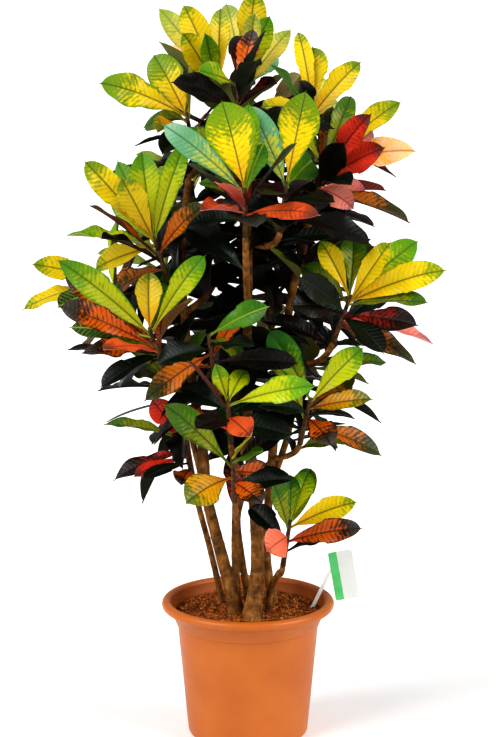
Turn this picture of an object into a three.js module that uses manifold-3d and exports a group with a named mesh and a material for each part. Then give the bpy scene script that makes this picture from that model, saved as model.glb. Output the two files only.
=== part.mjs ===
// Potted croton: a bushy, many-stemmed plant about a metre high in a terracotta-coloured nursery pot.
// Millimetres, +Z up, origin at the centre of the pot's base. The plant's front faces -Y, its right is +X.
import * as THREE from "three";
import { mergeVertices } from "three/addons/utils/BufferGeometryUtils.js";
import Module from "manifold-3d";

const wasm = await Module();
wasm.setup();

// Driving dimensions
const POT_HEIGHT = 194;
const POT_RIM_RADIUS = 120;
const POT_NECK_RADIUS = 98;
const POT_BASE_RADIUS = 84;
const POT_WALL = 2.6;
const SOIL_LEVEL = 175;
const PLANTING_DEPTH = 60;
const CLEARANCE = 0.3;
const SHOOT_LENGTH = 70;
const LEAFY_LENGTH = 48;
const NEW_GROWTH = 20;
const LEAF_THICKNESS = 2.2;

// Colours
const TERRACOTTA = 0xd0713c;
const PEAT = 0x6b3a22;
const BARK = 0x7a5738;
const NEW_LEAF = 0xc9c02c;
const OLD_LEAF = 0x6a2226;
const WHITE_CARD = 0xf2f3ef;

// Small vector helpers on [x, y, z]
const plus = (a, b) => [a[0] + b[0], a[1] + b[1], a[2] + b[2]];
const times = (a, s) => [a[0] * s, a[1] * s, a[2] * s];
const minus = (a, b) => plus(a, times(b, -1));
const dot = (a, b) => a[0] * b[0] + a[1] * b[1] + a[2] * b[2];
const cross = (a, b) => [
  a[1] * b[2] - a[2] * b[1],
  a[2] * b[0] - a[0] * b[2],
  a[0] * b[1] - a[1] * b[0],
];
const unit = (a) => times(a, 1 / Math.hypot(...a));
const between = (low, high, share) => low + (high - low) * share;
const radians = (degrees) => (degrees * Math.PI) / 180;

// A repeatable stream of numbers from 0 to 1
function draws(seed) {
  let state = seed;
  return () => {
    state = (state * 1664525 + 1013904223) % 4294967296;
    return state / 4294967296;
  };
}

// Solids from closed three.js geometries, and back

function solidFromGeometry(geometry) {
  geometry.deleteAttribute("normal");
  geometry.deleteAttribute("uv");
  const merged = mergeVertices(geometry, 1e-4);
  return new wasm.Manifold(
    new wasm.Mesh({
      numProp: 3,
      vertProperties: merged.attributes.position.array,
      triVerts: new Uint32Array(merged.index.array),
    }),
  );
}

function geometryFromSolid(solid) {
  const mesh = solid.getMesh();
  const geometry = new THREE.BufferGeometry();
  geometry.setAttribute("position", new THREE.BufferAttribute(mesh.vertProperties, 3));
  geometry.setIndex(new THREE.BufferAttribute(mesh.triVerts, 1));
  return geometry;
}

// A closed skin over rings of equally many points. It ends in a flat cap or, with a tip, in a point.
function loft(rings, tip = null) {
  const count = rings[0].length;
  const points = rings.flat();
  const faces = [];
  for (let j = 1; j < count - 1; j += 1) {
    faces.push(0, j + 1, j);
  }
  for (let i = 0; i < rings.length - 1; i += 1) {
    for (let j = 0; j < count; j += 1) {
      const here = i * count + j;
      const next = i * count + ((j + 1) % count);
      faces.push(here, next, next + count, here, next + count, here + count);
    }
  }
  const last = (rings.length - 1) * count;
  if (tip) {
    points.push(tip);
    for (let j = 0; j < count; j += 1) {
      faces.push(last + j, last + ((j + 1) % count), points.length - 1);
    }
  } else {
    for (let j = 1; j < count - 1; j += 1) {
      faces.push(last, last + j, last + j + 1);
    }
  }
  const geometry = new THREE.BufferGeometry();
  geometry.setAttribute("position", new THREE.Float32BufferAttribute(points.flat(), 3));
  geometry.setIndex(faces);
  return solidFromGeometry(geometry);
}

// A round stem along a curve of [x, y, z] points, with its radius at each of the given stations
function stem(curve, radii, sides) {
  const rings = radii.map((radius, i) => {
    const here = i / (radii.length - 1);
    const centre = curve.getPoint(here);
    const along = curve.getTangent(here).toArray();
    const right = unit(cross(along, [0.13, 1, 0.07]));
    const back = cross(along, right);
    return Array.from({ length: sides }, (_, j) => {
      const angle = (2 * Math.PI * j) / sides;
      const out = plus(times(right, Math.cos(angle)), times(back, Math.sin(angle)));
      return plus(centre.toArray(), times(out, radius));
    });
  });
  return loft(rings);
}

const HOLE_SIDES = 10;
function uprightCylinder(topRadius, bottomRadius, height) {
  return new THREE.CylinderGeometry(topRadius, bottomRadius, height, HOLE_SIDES).rotateX(Math.PI / 2);
}

const vector = (point) => new THREE.Vector3(...point);
const joined = (solids) => solids.reduce((whole, next) => whole.add(next));

// Faces narrower than this, left where joined solids nearly share an edge, go into their neighbours
const NARROWEST_FACE = 0.02;
function mesh(name, solid, colour, roughness) {
  const material = new THREE.MeshStandardMaterial({ color: colour, roughness, metalness: 0 });
  const geometry = geometryFromSolid(solid.asOriginal().simplify(NARROWEST_FACE));
  const made = new THREE.Mesh(geometry, material);
  made.name = name;
  return made;
}

// Pot: a thin conical wall, a flaring neck above a faint step, a rolled rim and drain holes in the floor

const POT_SEGMENTS = 36;
const FLOOR = 4;
const STEP_HEIGHT = 159;
const RIM_ROLL = 6.5;
const RIM_CENTRE = [POT_RIM_RADIUS - RIM_ROLL, POT_HEIGHT - RIM_ROLL];
const BASE_ROUND = 9;
const DRAIN_HOLES = 8;
const DRAIN_RADIUS = 6;
const DRAIN_CIRCLE = 58;

function arc(centre, radius, from, to, steps) {
  return Array.from({ length: steps + 1 }, (_, i) => {
    const angle = radians(between(from, to, i / steps));
    return [centre[0] + radius * Math.cos(angle), centre[1] + radius * Math.sin(angle)];
  });
}

function pot() {
  const outside = [
    [0, 0],
    ...arc([POT_BASE_RADIUS - BASE_ROUND, BASE_ROUND], BASE_ROUND, -90, 0, 2),
    [POT_NECK_RADIUS, STEP_HEIGHT],
    [POT_NECK_RADIUS + 2, STEP_HEIGHT + 1.5],
    [POT_NECK_RADIUS + 11, POT_HEIGHT - 15],
  ];
  const rim = arc(RIM_CENTRE, RIM_ROLL, -100, 170, 6);
  const inside = [
    [POT_NECK_RADIUS + 8.5, POT_HEIGHT - 15],
    [POT_NECK_RADIUS - POT_WALL, STEP_HEIGHT],
    [POT_BASE_RADIUS - POT_WALL, FLOOR + BASE_ROUND],
    [POT_BASE_RADIUS - POT_WALL - BASE_ROUND, FLOOR],
    [0, FLOOR],
  ];
  const profile = [...outside, ...rim, ...inside].map((p) => new THREE.Vector2(...p));
  const shell = solidFromGeometry(new THREE.LatheGeometry(profile, POT_SEGMENTS).rotateX(Math.PI / 2));
  const holes = Array.from({ length: DRAIN_HOLES }, (_, i) => {
    const angle = (2 * Math.PI * (i + 0.5)) / DRAIN_HOLES;
    const hole = uprightCylinder(DRAIN_RADIUS, DRAIN_RADIUS, 4 * FLOOR);
    hole.translate(DRAIN_CIRCLE * Math.cos(angle), DRAIN_CIRCLE * Math.sin(angle), 0);
    return solidFromGeometry(hole);
  });
  return shell.subtract(joined(holes));
}

// Trunks: each is a list of [x, y, z, radius] from the soil up, the first one where it leaves the soil

const TRUNKS = {
  trunk_left: [
    [-16, -14, SOIL_LEVEL, 10.5],
    [-36, -12, 257, 8.5],
    [-55, -8, 334, 7.5],
    [-62, -12, 410, 7],
    [-75, -18, 500, 6],
    [-86, -22, 600, 5.5],
    [-88, -10, 690, 5],
    [-80, 4, 780, 4.5],
  ],
  trunk_left_thin: [
    [-37, 30, SOIL_LEVEL, 4.5],
    [-52, 34, 250, 4.2],
    [-72, 36, 330, 4],
    [-88, 52, 420, 4],
    [-104, 68, 520, 3.8],
    [-114, 74, 560, 3.8],
  ],
  trunk_centre: [
    [6, -36, SOIL_LEVEL, 12.5],
    [13, -22, 240, 9.5],
    [10, -16, 334, 9],
    [2, -20, 420, 7.5],
    [-2, -26, 510, 6.5],
    [0, -34, 610, 6],
    [0, -42, 700, 5.5],
    [-6, -52, 790, 5],
  ],
  trunk_back: [
    [-16, 48, SOIL_LEVEL, 6],
    [-18, 56, 260, 5.5],
    [-14, 62, 380, 5.5],
    [-8, 68, 500, 5],
    [-6, 72, 640, 5],
    [-8, 70, 760, 4.5],
    [-8, 66, 820, 4.5],
  ],
  trunk_right: [
    [34, 30, SOIL_LEVEL, 7],
    [26, 24, 250, 6],
    [30, 18, 350, 6],
    [38, 10, 440, 6],
    [48, 4, 530, 6],
    [58, 2, 614, 5.5],
    [76, 2, 690, 5],
    [86, 6, 780, 4.5],
  ],
  trunk_right_low: [
    [28, -6, SOIL_LEVEL, 4.8],
    [32, -12, 212, 4.5],
    [43, -30, 240, 4.2],
  ],
  trunk_front: [
    [2, 14, SOIL_LEVEL, 5.5],
    [-9, 4, 250, 5],
    [-14, -22, 320, 4.5],
    [2, -48, 370, 4.5],
    [36, -70, 410, 4],
  ],
};
const TRUNK_SIDES = 6;
const BRANCH_SIDES = 5;
const BRANCH_RADIUS = 4;
const BRANCH_BEND = 0.45;
const SHOOT_TIP_RADIUS = 2.4;
const SHOOT_OUTWARD_LEAN = 400;

// Leaf colours of the new growth at a shoot's top; every other colour is one of its older leaves below
const NEW_COLOURS = ["gold", "pale", "cream", "lime", "jade", "green", "olive"];

// Heads: the trunk, and the trunk's point that each shoot branches from, the shoot's tip, and the leaves
// that show from the front, each as [right, back, up] from the shoot's tip to the leaf's tip, its width,
// how far its upper side turns from facing up (0) to facing front (90), and its colour.
const HEADS = {
  crown_red: ["trunk_centre", 7, [-13, -70, 909], [
    [-50, -70, 20, 32, 60, "lime"],
    [5, 60, 60, 36, 90, "wine"],
    [20, 40, 70, 32, 25, "ember"],
    [35, -40, 70, 30, 15, "plum"],
    [25, -90, 35, 36, 20, "plum"],
    [50, -75, 5, 34, 45, "wine"],
    [-85, -45, 5, 42, 60, "plum"],
  ]],
  crown_left: ["trunk_back", 6, [-42, 30, 914], [
    [-45, 10, 95, 42, 80, "gold"],
    [-80, 40, 90, 36, 70, "pale"],
    [5, 45, 90, 32, 60, "gold"],
    [-45, -55, 60, 40, 85, "gold"],
    [-15, -60, 60, 28, 70, "lime"],
    [-70, 55, 40, 36, 70, "cream"],
  ]],
  crown_top: ["trunk_back", 6, [-5, 70, 909], [
    [15, 0, 120, 44, 90, "gold"],
    [15, -45, 90, 28, 60, "pale"],
    [35, -20, 85, 36, 80, "lime"],
    [-25, 60, 100, 32, 70, "pale"],
    [65, 40, 65, 36, 60, "pale"],
    [45, 75, 30, 36, 70, "jade"],
    [-5, 75, 85, 32, 70, "ruby"],
  ]],
  upper_left: ["trunk_left", 7, [-83, 10, 867], [
    [-45, 40, 75, 44, 80, "gold"],
    [-115, -20, 40, 42, 60, "gold"],
    [-20, 65, 60, 36, 80, "lime"],
    [-60, 60, -25, 36, 50, "olive"],
    [-35, -90, -20, 42, 40, "amber"],
    [-30, -75, -50, 40, 50, "plum"],
  ]],
  upper_right: ["trunk_right", 7, [87, 10, 873], [
    [0, 40, 80, 44, 88, "gold"],
    [-20, 35, 100, 26, 80, "gold"],
    [-70, -60, 5, 38, 50, "gold"],
    [25, 80, 30, 36, 70, "pale"],
    [40, 80, 0, 36, 60, "pale"],
    [65, 20, 60, 38, 60, "gold"],
    [-20, -75, 40, 36, 60, "plum"],
  ]],
  front_left: ["trunk_centre", 5, [-4, -150, 782], [
    [-30, 25, 110, 60, 88, "gold"],
    [5, 50, 105, 36, 85, "lime"],
    [-105, 10, 80, 38, 60, "jade"],
    [25, 30, 55, 28, 50, "green"],
    [-70, 60, 50, 36, 70, "olive"],
    [-60, 65, 0, 32, 40, "olive"],
    [65, -30, 60, 34, 20, "plum"],
    [-75, -30, 35, 32, 15, "plum"],
    [-35, -85, 15, 32, 10, "ember"],
    [-55, -75, -20, 36, 20, "ember"],
    [95, -40, -30, 40, 35, "ember"],
    [15, -85, -40, 40, 40, "plum"],
  ]],
  front_right: ["trunk_centre", 6, [50, -120, 787], [
    [25, 35, 115, 50, 88, "gold"],
    [-50, 25, 110, 42, 80, "jade"],
    [35, 80, 20, 46, 90, "green"],
    [-35, -80, 20, 44, 30, "plum"],
    [30, -85, 10, 32, 10, "plum"],
    [60, -65, -20, 40, 35, "plum"],
    [-5, -80, -40, 40, 30, "plum"],
  ]],
  right_red: ["trunk_right", 6, [103, -50, 809], [
    [35, 60, 80, 32, 80, "olive"],
    [100, 20, 75, 36, 50, "gold"],
    [120, 10, 10, 44, 75, "cream"],
    [10, 35, 80, 36, 85, "amber"],
    [55, -15, 65, 36, 75, "ruby"],
    [65, 50, 35, 36, 70, "pink"],
    [75, -45, 20, 44, 60, "ruby"],
    [20, -80, 30, 40, 90, "plum"],
    [30, -80, -25, 32, 45, "plum"],
    [55, 30, -50, 36, 75, "pink"],
    [35, -50, -60, 36, 75, "pink"],
  ]],
  right_back: ["trunk_right", 5, [81, 20, 732], [
    [50, 65, 10, 32, 45, "olive"],
    [35, -80, 5, 36, 50, "plum"],
    [60, -60, -25, 38, 50, "plum"],
    [35, -80, -25, 28, 20, "ruby"],
    [55, 50, -45, 36, 60, "amber"],
  ]],
  left_upper: ["trunk_left", 5, [-125, -70, 710], [
    [-15, 30, 110, 48, 88, "lime"],
    [45, 10, 125, 34, 70, "lime"],
    [-90, 0, 100, 40, 75, "gold"],
    [-40, -25, 80, 44, 85, "gold"],
    [-50, 60, 95, 36, 80, "lime"],
    [-60, 40, 60, 44, 85, "lime"],
    [-115, 10, 0, 36, 12, "lime"],
    [-80, 40, -50, 36, 60, "gold"],
    [70, -35, 45, 36, 50, "ember"],
    [-80, -40, 45, 32, 15, "ember"],
    [-65, -60, 5, 36, 20, "plum"],
  ]],
  left_lower: ["trunk_left", 4, [-130, -100, 593], [
    [0, 30, 70, 40, 88, "gold"],
    [20, 70, 70, 36, 85, "green"],
    [75, 10, 95, 36, 75, "lime"],
    [-120, 0, 90, 44, 70, "lime"],
    [-105, 0, 0, 40, 45, "jade"],
    [60, -45, 45, 36, 15, "amber"],
    [-115, 30, 65, 40, 65, "ember"],
    [-115, -40, 35, 40, 55, "ember"],
    [-85, -50, -25, 36, 30, "ember"],
    [-55, -80, -15, 36, 30, "coral"],
    [-110, 30, -35, 30, 10, "plum"],
    [-65, 0, -80, 34, 25, "plum"],
  ]],
  far_left: ["trunk_left_thin", 5, [-195, 20, 640], [
    [-100, 0, 20, 38, 60, "gold"],
    [-115, 10, -45, 36, 25, "gold"],
    [-60, -60, -30, 36, 45, "jade"],
    [-70, 50, 10, 36, 50, "plum"],
  ]],
  right_mid: ["trunk_right", 4, [135, -90, 634], [
    [-40, 30, 70, 34, 70, "gold"],
    [-10, 60, 65, 36, 80, "green"],
    [5, 50, 75, 38, 80, "olive"],
    [90, 20, 70, 44, 75, "gold"],
    [125, -10, 35, 44, 70, "gold"],
    [-65, 60, 30, 40, 70, "olive"],
    [100, -30, -5, 34, 15, "olive"],
    [50, -30, 75, 36, 50, "gold"],
    [-70, -45, 30, 44, 60, "plum"],
    [-80, -50, -5, 44, 55, "plum"],
    [85, -60, -30, 42, 55, "wine"],
    [40, -70, -65, 36, 45, "plum"],
    [110, 0, -65, 34, 20, "pink"],
    [20, 70, -60, 36, 60, "ruby"],
    [30, 60, -70, 38, 50, "amber"],
  ]],
  low_right: ["trunk_front", 4, [83, -100, 499], [
    [-55, 10, 90, 44, 80, "green"],
    [70, 15, 65, 42, 75, "lime"],
    [60, 55, 20, 36, 50, "amber"],
    [80, -35, 5, 36, 45, "amber"],
    [-70, -55, 0, 38, 45, "plum"],
    [60, 30, -35, 24, 10, "plum"],
    [25, -70, -50, 42, 60, "ember"],
  ]],
  centre_low: ["trunk_front", 3, [-27, -140, 507], [
    [-15, -30, 50, 24, 60, "lime"],
    [25, 60, 25, 28, 60, "lime"],
    [115, -10, 20, 40, 60, "lime"],
    [-50, -30, 55, 28, 10, "ember"],
    [-60, 70, 0, 44, 50, "plum"],
    [55, 65, -10, 36, 40, "plum"],
    [30, -75, -35, 40, 60, "coral"],
    [-40, -75, -25, 36, 50, "plum"],
    [85, 0, -50, 44, 50, "plum"],
  ]],
  centre_lowest: ["trunk_front", 2, [-21, -130, 427], [
    [25, -60, 40, 32, 40, "gold"],
    [40, -60, 20, 28, 40, "green"],
    [-90, 0, 70, 44, 65, "olive"],
    [55, 50, -40, 36, 50, "ember"],
    [-60, -60, -50, 56, 65, "amber"],
    [40, -60, -50, 40, 60, "ember"],
    [80, -30, -25, 40, 45, "plum"],
  ]],
  left_droop: ["trunk_left_thin", 2, [-89, -20, 429], [
    [-110, 30, 10, 28, 10, "olive"],
    [-45, 60, 40, 38, 70, "ruby"],
    [-95, -10, -60, 36, 20, "wine"],
    [-65, -50, -45, 32, 20, "ruby"],
    [-50, -85, -40, 28, 20, "plum"],
    [0, -75, -50, 36, 60, "ember"],
  ]],
  bottom_right: ["trunk_right_low", 2, [57, -80, 327], [
    [0, 35, 55, 28, 70, "green"],
    [25, 40, 55, 36, 80, "lime"],
    [30, 70, 55, 36, 70, "olive"],
    [90, 0, 25, 38, 70, "gold"],
    [-25, -30, 60, 32, 40, "olive"],
    [95, -30, 0, 36, 60, "ember"],
    [-55, 65, 5, 36, 40, "plum"],
    [45, 30, -35, 24, 10, "plum"],
    [-32, -35, -34, 40, 78, "pink"],
  ]],
  centre_mid: ["trunk_centre", 4, [-52, -110, 586], [
    [80, -20, 40, 38, 60, "green"],
    [50, 50, -40, 36, 50, "olive"],
    [60, -60, -5, 36, 30, "plum"],
    [-65, -60, -30, 42, 50, "plum"],
    [-85, 0, -90, 40, 60, "amber"],
  ]],
  back_top: ["trunk_back", 5, [30, 130, 850], []],
  back_right_high: ["trunk_right", 5, [100, 95, 770], []],
  back_left_high: ["trunk_back", 4, [-80, 125, 760], []],
  back_left: ["trunk_left_thin", 4, [-120, 120, 650], []],
  back_right: ["trunk_right", 3, [115, 105, 620], []],
  back_low: ["trunk_back", 2, [5, 140, 520], []],
  heart_left: ["trunk_left", 5, [-52, 34, 730], []],
  heart_right: ["trunk_right", 4, [34, 46, 690], []],
  heart_middle: ["trunk_back", 3, [-34, 20, 600], []],
  heart_low_right: ["trunk_right", 2, [74, 20, 520], []],
  heart_low_left: ["trunk_left", 2, [-96, 40, 490], []],
};

// Leaves that no view from the front shows follow the croton's own rule: each turns on by the golden angle.
// Those of the shoots in the plant's heart are dark, broad and hang down.
const GOLDEN_ANGLE = 137.5;
const LEAVES_BEHIND_A_FRONT_HEAD = 7;
const LEAVES_OF_A_BACK_HEAD = 12;
const LEAVES_IN_THE_HEART = 10;
const BARE_BELOW = 480;
const YOUNG_SHARE = 0.4;
const FEW_LEAVES = 3;
const OUTWARD_LOOK = 0.8;

// Where a leaf would touch its neighbours, its tip is bent aside by the smallest [right, back, up] that
// clears them all. A leaf gives way in depth most easily, then in height, and sideways last.
const BEND_STEP = 13;
const EFFORT_UP = 1.6;
const EFFORT_RIGHT = 2.2;
function bendsInOrder() {
  const bends = [];
  for (const back of [0, 1, -1, 2, -2, 3, -3, 4, -4]) {
    for (const up of [0, 1, -1, 2, -2]) {
      for (const right of [0, 1, -1, 2, -2]) {
        const effort = Math.abs(back) + EFFORT_UP * Math.abs(up) + EFFORT_RIGHT * Math.abs(right);
        bends.push({ effort, shift: times([right, back, up], BEND_STEP) });
      }
    }
  }
  bends.sort((a, b) => a.effort - b.effort);
  return bends.map((bend) => bend.shift);
}
const BENDS = bendsInOrder();

// The half outline of a blade: [share of the way from petiole to tip, share of its widest half]
const BLADE_OUTLINE = [
  [0, 0.1],
  [0.38, 0.84],
  [0.7, 0.96],
];
const PETIOLE_SHARE = 0.13;
const PETIOLE_HALF_WIDTH = 1.8;
const ROOT_OFFSET = 0.8;

// A leaf on an arched midrib: a petiole that starts inside the shoot, and a blade with its midrib below
function leaf({ node, tip, facing, axis, width, arch }, extra = 0, bladeOnly = false) {
  const reach = minus(tip, node);
  const outward = unit(minus(reach, times(axis, dot(reach, axis))));
  const root = plus(node, times(outward, ROOT_OFFSET));
  const length = Math.hypot(...minus(tip, root));
  const knee = plus(times(plus(root, tip), 0.5), times(axis, arch * length));
  const station = (t, half) => {
    const centre = [0, 1, 2].map(
      (k) => (1 - t) ** 2 * root[k] + 2 * t * (1 - t) * knee[k] + t ** 2 * tip[k],
    );
    const along = plus(times(minus(knee, root), 1 - t), times(minus(tip, knee), t));
    const right = unit(cross(facing, along));
    const above = unit(cross(along, right));
    const edge = plus(centre, times(above, LEAF_THICKNESS / 3 + extra));
    return [
      plus(edge, times(right, half + extra)),
      minus(edge, times(right, half + extra)),
      minus(centre, times(above, (LEAF_THICKNESS * 2) / 3 + extra)),
    ];
  };
  const rings = bladeOnly ? [] : [station(0, PETIOLE_HALF_WIDTH)];
  for (const [share, half] of BLADE_OUTLINE.slice(bladeOnly ? 1 : 0)) {
    rings.push(station(between(PETIOLE_SHARE, 1, share), Math.max((half * width) / 2, PETIOLE_HALF_WIDTH)));
  }
  return loft(rings, tip);
}

// The leaves of one head, in the order of the list above and then of the golden angle
function plannedLeaves(name, tipOfShoot, axis, shown) {
  const draw = draws(Object.keys(HEADS).indexOf(name) * 7919 + 17);
  const planned = shown.map(([right, back, up, width, turn, colour]) => ({
    tip: plus(tipOfShoot, [right, back, up]),
    facing: [0, -Math.sin(radians(turn)), Math.cos(radians(turn))],
    width,
    young: NEW_COLOURS.includes(colour),
    arch: between(0.06, 0.14, draw()),
    shown: true,
  }));
  const right = unit(cross([0, 1, 0], axis));
  const back = cross(axis, right);
  const heart = name.startsWith("heart");
  const outward = unit([tipOfShoot[0], tipOfShoot[1], 0]);
  const facing = unit(plus(axis, times(outward, OUTWARD_LOOK)));
  const behind = tipOfShoot[2] < BARE_BELOW ? 0 : LEAVES_BEHIND_A_FRONT_HEAD;
  const count = shown.length ? behind : heart ? LEAVES_IN_THE_HEART : LEAVES_OF_A_BACK_HEAD;
  for (let i = 0; i < count; i += 1) {
    const age = (i + 0.5) / count;
    const turn = radians(i * GOLDEN_ANGLE + 40 * draw());
    const spread = radians(between(heart ? 60 : 30, heart ? 135 : 112, age) + 10 * draw());
    const length = between(heart ? 110 : 90, 130, age) * between(0.9, 1.1, draw());
    const width = length * between(0.32, 0.38, draw());
    const arch = between(0.06, 0.14, draw());
    const out = plus(times(right, Math.cos(turn)), times(back, Math.sin(turn)));
    const way = plus(times(axis, Math.cos(spread)), times(out, Math.sin(spread)));
    const young = !heart && age < YOUNG_SHARE;
    if (shown.length && way[1] < (young ? 0.3 : -0.2)) {
      continue;
    }
    const tip = plus(minus(tipOfShoot, times(axis, age * LEAFY_LENGTH)), times(way, length));
    planned.push({ tip, facing, width, young, arch, shown: false });
  }
  const youngLeaves = planned.filter((one) => one.young).length;
  const onlyOld = youngLeaves <= FEW_LEAVES;
  const onlyYoung = planned.length - youngLeaves <= FEW_LEAVES;
  return planned.map((one) => ({ ...one, axis, young: !onlyOld && (one.young || onlyYoung) }));
}

// Each leaf's node on the shoot's axis: the new leaves on its top stretch and the old ones below, or all of
// them along the whole shoot where they are of one colour
function rootedLeaves(planned, tipOfShoot, axis) {
  const mixed = new Set(planned.map((one) => one.young)).size > 1;
  for (const young of [true, false]) {
    const group = planned.filter((one) => one.young === young);
    const top = mixed && !young ? NEW_GROWTH + 5 : 3;
    const bottom = mixed && young ? NEW_GROWTH - 5 : LEAFY_LENGTH;
    group.forEach((one, i) => {
      const down = between(top, bottom, group.length > 1 ? i / (group.length - 1) : 0.5);
      one.node = minus(tipOfShoot, times(axis, down));
    });
  }
  return planned;
}

// Whether two solids with known boxes share any space
function touch(a, b) {
  for (let k = 0; k < 3; k += 1) {
    if (a.box.max[k] < b.box.min[k] || b.box.max[k] < a.box.min[k]) {
      return false;
    }
  }
  return a.solid.intersect(b.solid).volume() > 0;
}

const boxed = (solid) => ({ solid, box: solid.boundingBox() });

// All that leaves keep clear of: what each owner has placed, and its blades without their petioles
const placed = [];
const blades = [];

// Trunks, their branches and the shoots. A gap parts each shoot from its branch, and its two stretches.

const growth = {};
const waiting = [];
const trunkSolids = {};
for (const [name, points] of Object.entries(TRUNKS)) {
  const ground = [points[0][0], points[0][1], SOIL_LEVEL - PLANTING_DEPTH];
  const course = new THREE.CatmullRomCurve3([vector(ground), ...points.map((p) => vector(p.slice(0, 3)))]);
  const radii = [points[0][3], ...points.map((p) => p[3])];
  trunkSolids[name] = [stem(course, radii, TRUNK_SIDES)];
}

// A branch leaves its trunk outwards and meets the shoot's foot in the shoot's own direction
function branch(start, axis, foot) {
  const reach = Math.hypot(...minus(foot, start));
  const knee = minus(foot, times(axis, reach * BRANCH_BEND));
  const course = new THREE.QuadraticBezierCurve3(vector(start), vector(knee), vector(foot));
  return stem(course, [BRANCH_RADIUS, BRANCH_RADIUS, BRANCH_RADIUS], BRANCH_SIDES);
}

function stretchOfShoot(tip, axis, from, to) {
  const course = new THREE.LineCurve3(
    vector(minus(tip, times(axis, from))),
    vector(minus(tip, times(axis, to))),
  );
  const radius = (down) => between(SHOOT_TIP_RADIUS, BRANCH_RADIUS, down / SHOOT_LENGTH);
  return stem(course, [radius(from), radius(to)], BRANCH_SIDES);
}

for (const [name, [trunk, fork, tip, shown]] of Object.entries(HEADS)) {
  const axis = unit([tip[0] / SHOOT_OUTWARD_LEAN, tip[1] / SHOOT_OUTWARD_LEAN, 1]);
  const foot = minus(tip, times(axis, SHOOT_LENGTH));
  trunkSolids[trunk].push(branch(TRUNKS[trunk][fork].slice(0, 3), axis, foot));
  const leaves = rootedLeaves(plannedLeaves(name, tip, axis, shown), tip, axis);
  const hasYoung = leaves.some((one) => one.young);
  const hasOld = leaves.some((one) => !one.young);
  if (hasYoung) {
    const from = hasOld ? NEW_GROWTH : SHOOT_LENGTH - CLEARANCE;
    growth[name + "_new"] = [stretchOfShoot(tip, axis, from, 0)];
  }
  if (hasOld) {
    const to = hasYoung ? NEW_GROWTH + CLEARANCE : 0;
    growth[name + "_old"] = [stretchOfShoot(tip, axis, SHOOT_LENGTH - CLEARANCE, to)];
  }
  waiting.push(...leaves.map((one) => ({ ...one, owner: name + (one.young ? "_new" : "_old") })));
}
waiting.sort((a, b) => Number(b.shown) - Number(a.shown));
for (const [owner, [solid]] of Object.entries(growth)) {
  placed.push({ owner, ...boxed(solid) });
}
for (const [name, solids] of Object.entries(trunkSolids)) {
  for (const solid of solids) {
    placed.push({ owner: name, ...boxed(solid) });
  }
}

// Leaves: those that show are placed first, then the rest where there is room for them

const CLEAR_OF_LEAF = 0.25;
function tryLeaf(one, crossOwnBlades) {
  for (const bend of BENDS) {
    const bent = { ...one, tip: plus(one.tip, bend) };
    const whole = boxed(leaf(bent, CLEAR_OF_LEAF));
    const blade = boxed(leaf(bent, CLEAR_OF_LEAF, true));
    const clear =
      !placed.some((other) => other.owner !== one.owner && touch(whole, other)) &&
      (crossOwnBlades || !blades.some((other) => other.owner === one.owner && touch(blade, other)));
    if (clear) {
      growth[one.owner].push(leaf(bent));
      placed.push({ owner: one.owner, ...whole });
      blades.push({ owner: one.owner, ...blade });
      return true;
    }
  }
  return false;
}
for (const one of waiting) {
  if (!tryLeaf(one, false) && one.shown) {
    tryLeaf(one, true);
  }
}

// Soil: fills the pot to below its rim, with a plain hole for each trunk and a slot for the label's stake

const HOLE_TAPER = 1;
const HOLE_OVERRUN = 10;
const LABEL_Y = 18;
const STAKE = { foot: [80, SOIL_LEVEL - 22], head: [116, 230], width: 8, thick: 1 };
const CARD = { width: 34, height: 70, middle: [134, 222], lean: 10, thick: 1 };

function stakeSolid(gap) {
  const run = STAKE.head[0] - STAKE.foot[0];
  const rise = STAKE.head[1] - STAKE.foot[1];
  const bar = new THREE.BoxGeometry(
    STAKE.width + 2 * gap,
    STAKE.thick + 2 * gap,
    Math.hypot(run, rise) + 2 * gap,
  );
  bar.rotateY(Math.atan2(run, rise));
  bar.translate((STAKE.foot[0] + STAKE.head[0]) / 2, LABEL_Y, (STAKE.foot[1] + STAKE.head[1]) / 2);
  return solidFromGeometry(bar);
}

function plantLabel() {
  const card = new THREE.BoxGeometry(CARD.width, CARD.thick, CARD.height);
  card.rotateY(radians(-CARD.lean));
  card.translate(CARD.middle[0], LABEL_Y, CARD.middle[1]);
  return stakeSolid(0).add(solidFromGeometry(card));
}

function soil() {
  const taper = (POT_NECK_RADIUS - POT_BASE_RADIUS) / (STEP_HEIGHT - FLOOR - BASE_ROUND);
  const inner = (z) => POT_BASE_RADIUS - POT_WALL + taper * (z - FLOOR - BASE_ROUND) - CLEARANCE;
  const profile = [
    [0, FLOOR + CLEARANCE],
    [POT_BASE_RADIUS - POT_WALL - BASE_ROUND - CLEARANCE, FLOOR + CLEARANCE],
    [inner(FLOOR + BASE_ROUND), FLOOR + BASE_ROUND],
    [inner(STEP_HEIGHT), STEP_HEIGHT],
    [POT_NECK_RADIUS + 4.5, SOIL_LEVEL - 3],
    [POT_NECK_RADIUS - 30, SOIL_LEVEL + 1],
    [0, SOIL_LEVEL + 3],
  ].map((p) => new THREE.Vector2(...p));
  const mass = solidFromGeometry(new THREE.LatheGeometry(profile, POT_SEGMENTS).rotateX(Math.PI / 2));
  const holes = Object.values(TRUNKS).map(([[x, y, , radius]]) => {
    const bore = (radius + CLEARANCE) / Math.cos(Math.PI / HOLE_SIDES);
    const bottom = SOIL_LEVEL - PLANTING_DEPTH - CLEARANCE;
    const depth = PLANTING_DEPTH + 2 * HOLE_OVERRUN;
    const hole = uprightCylinder(bore + HOLE_TAPER, bore, depth);
    hole.translate(x, y, bottom + depth / 2);
    return solidFromGeometry(hole);
  });
  return mass.subtract(joined([...holes, stakeSolid(CLEARANCE)]));
}

// The whole potted plant

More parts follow.
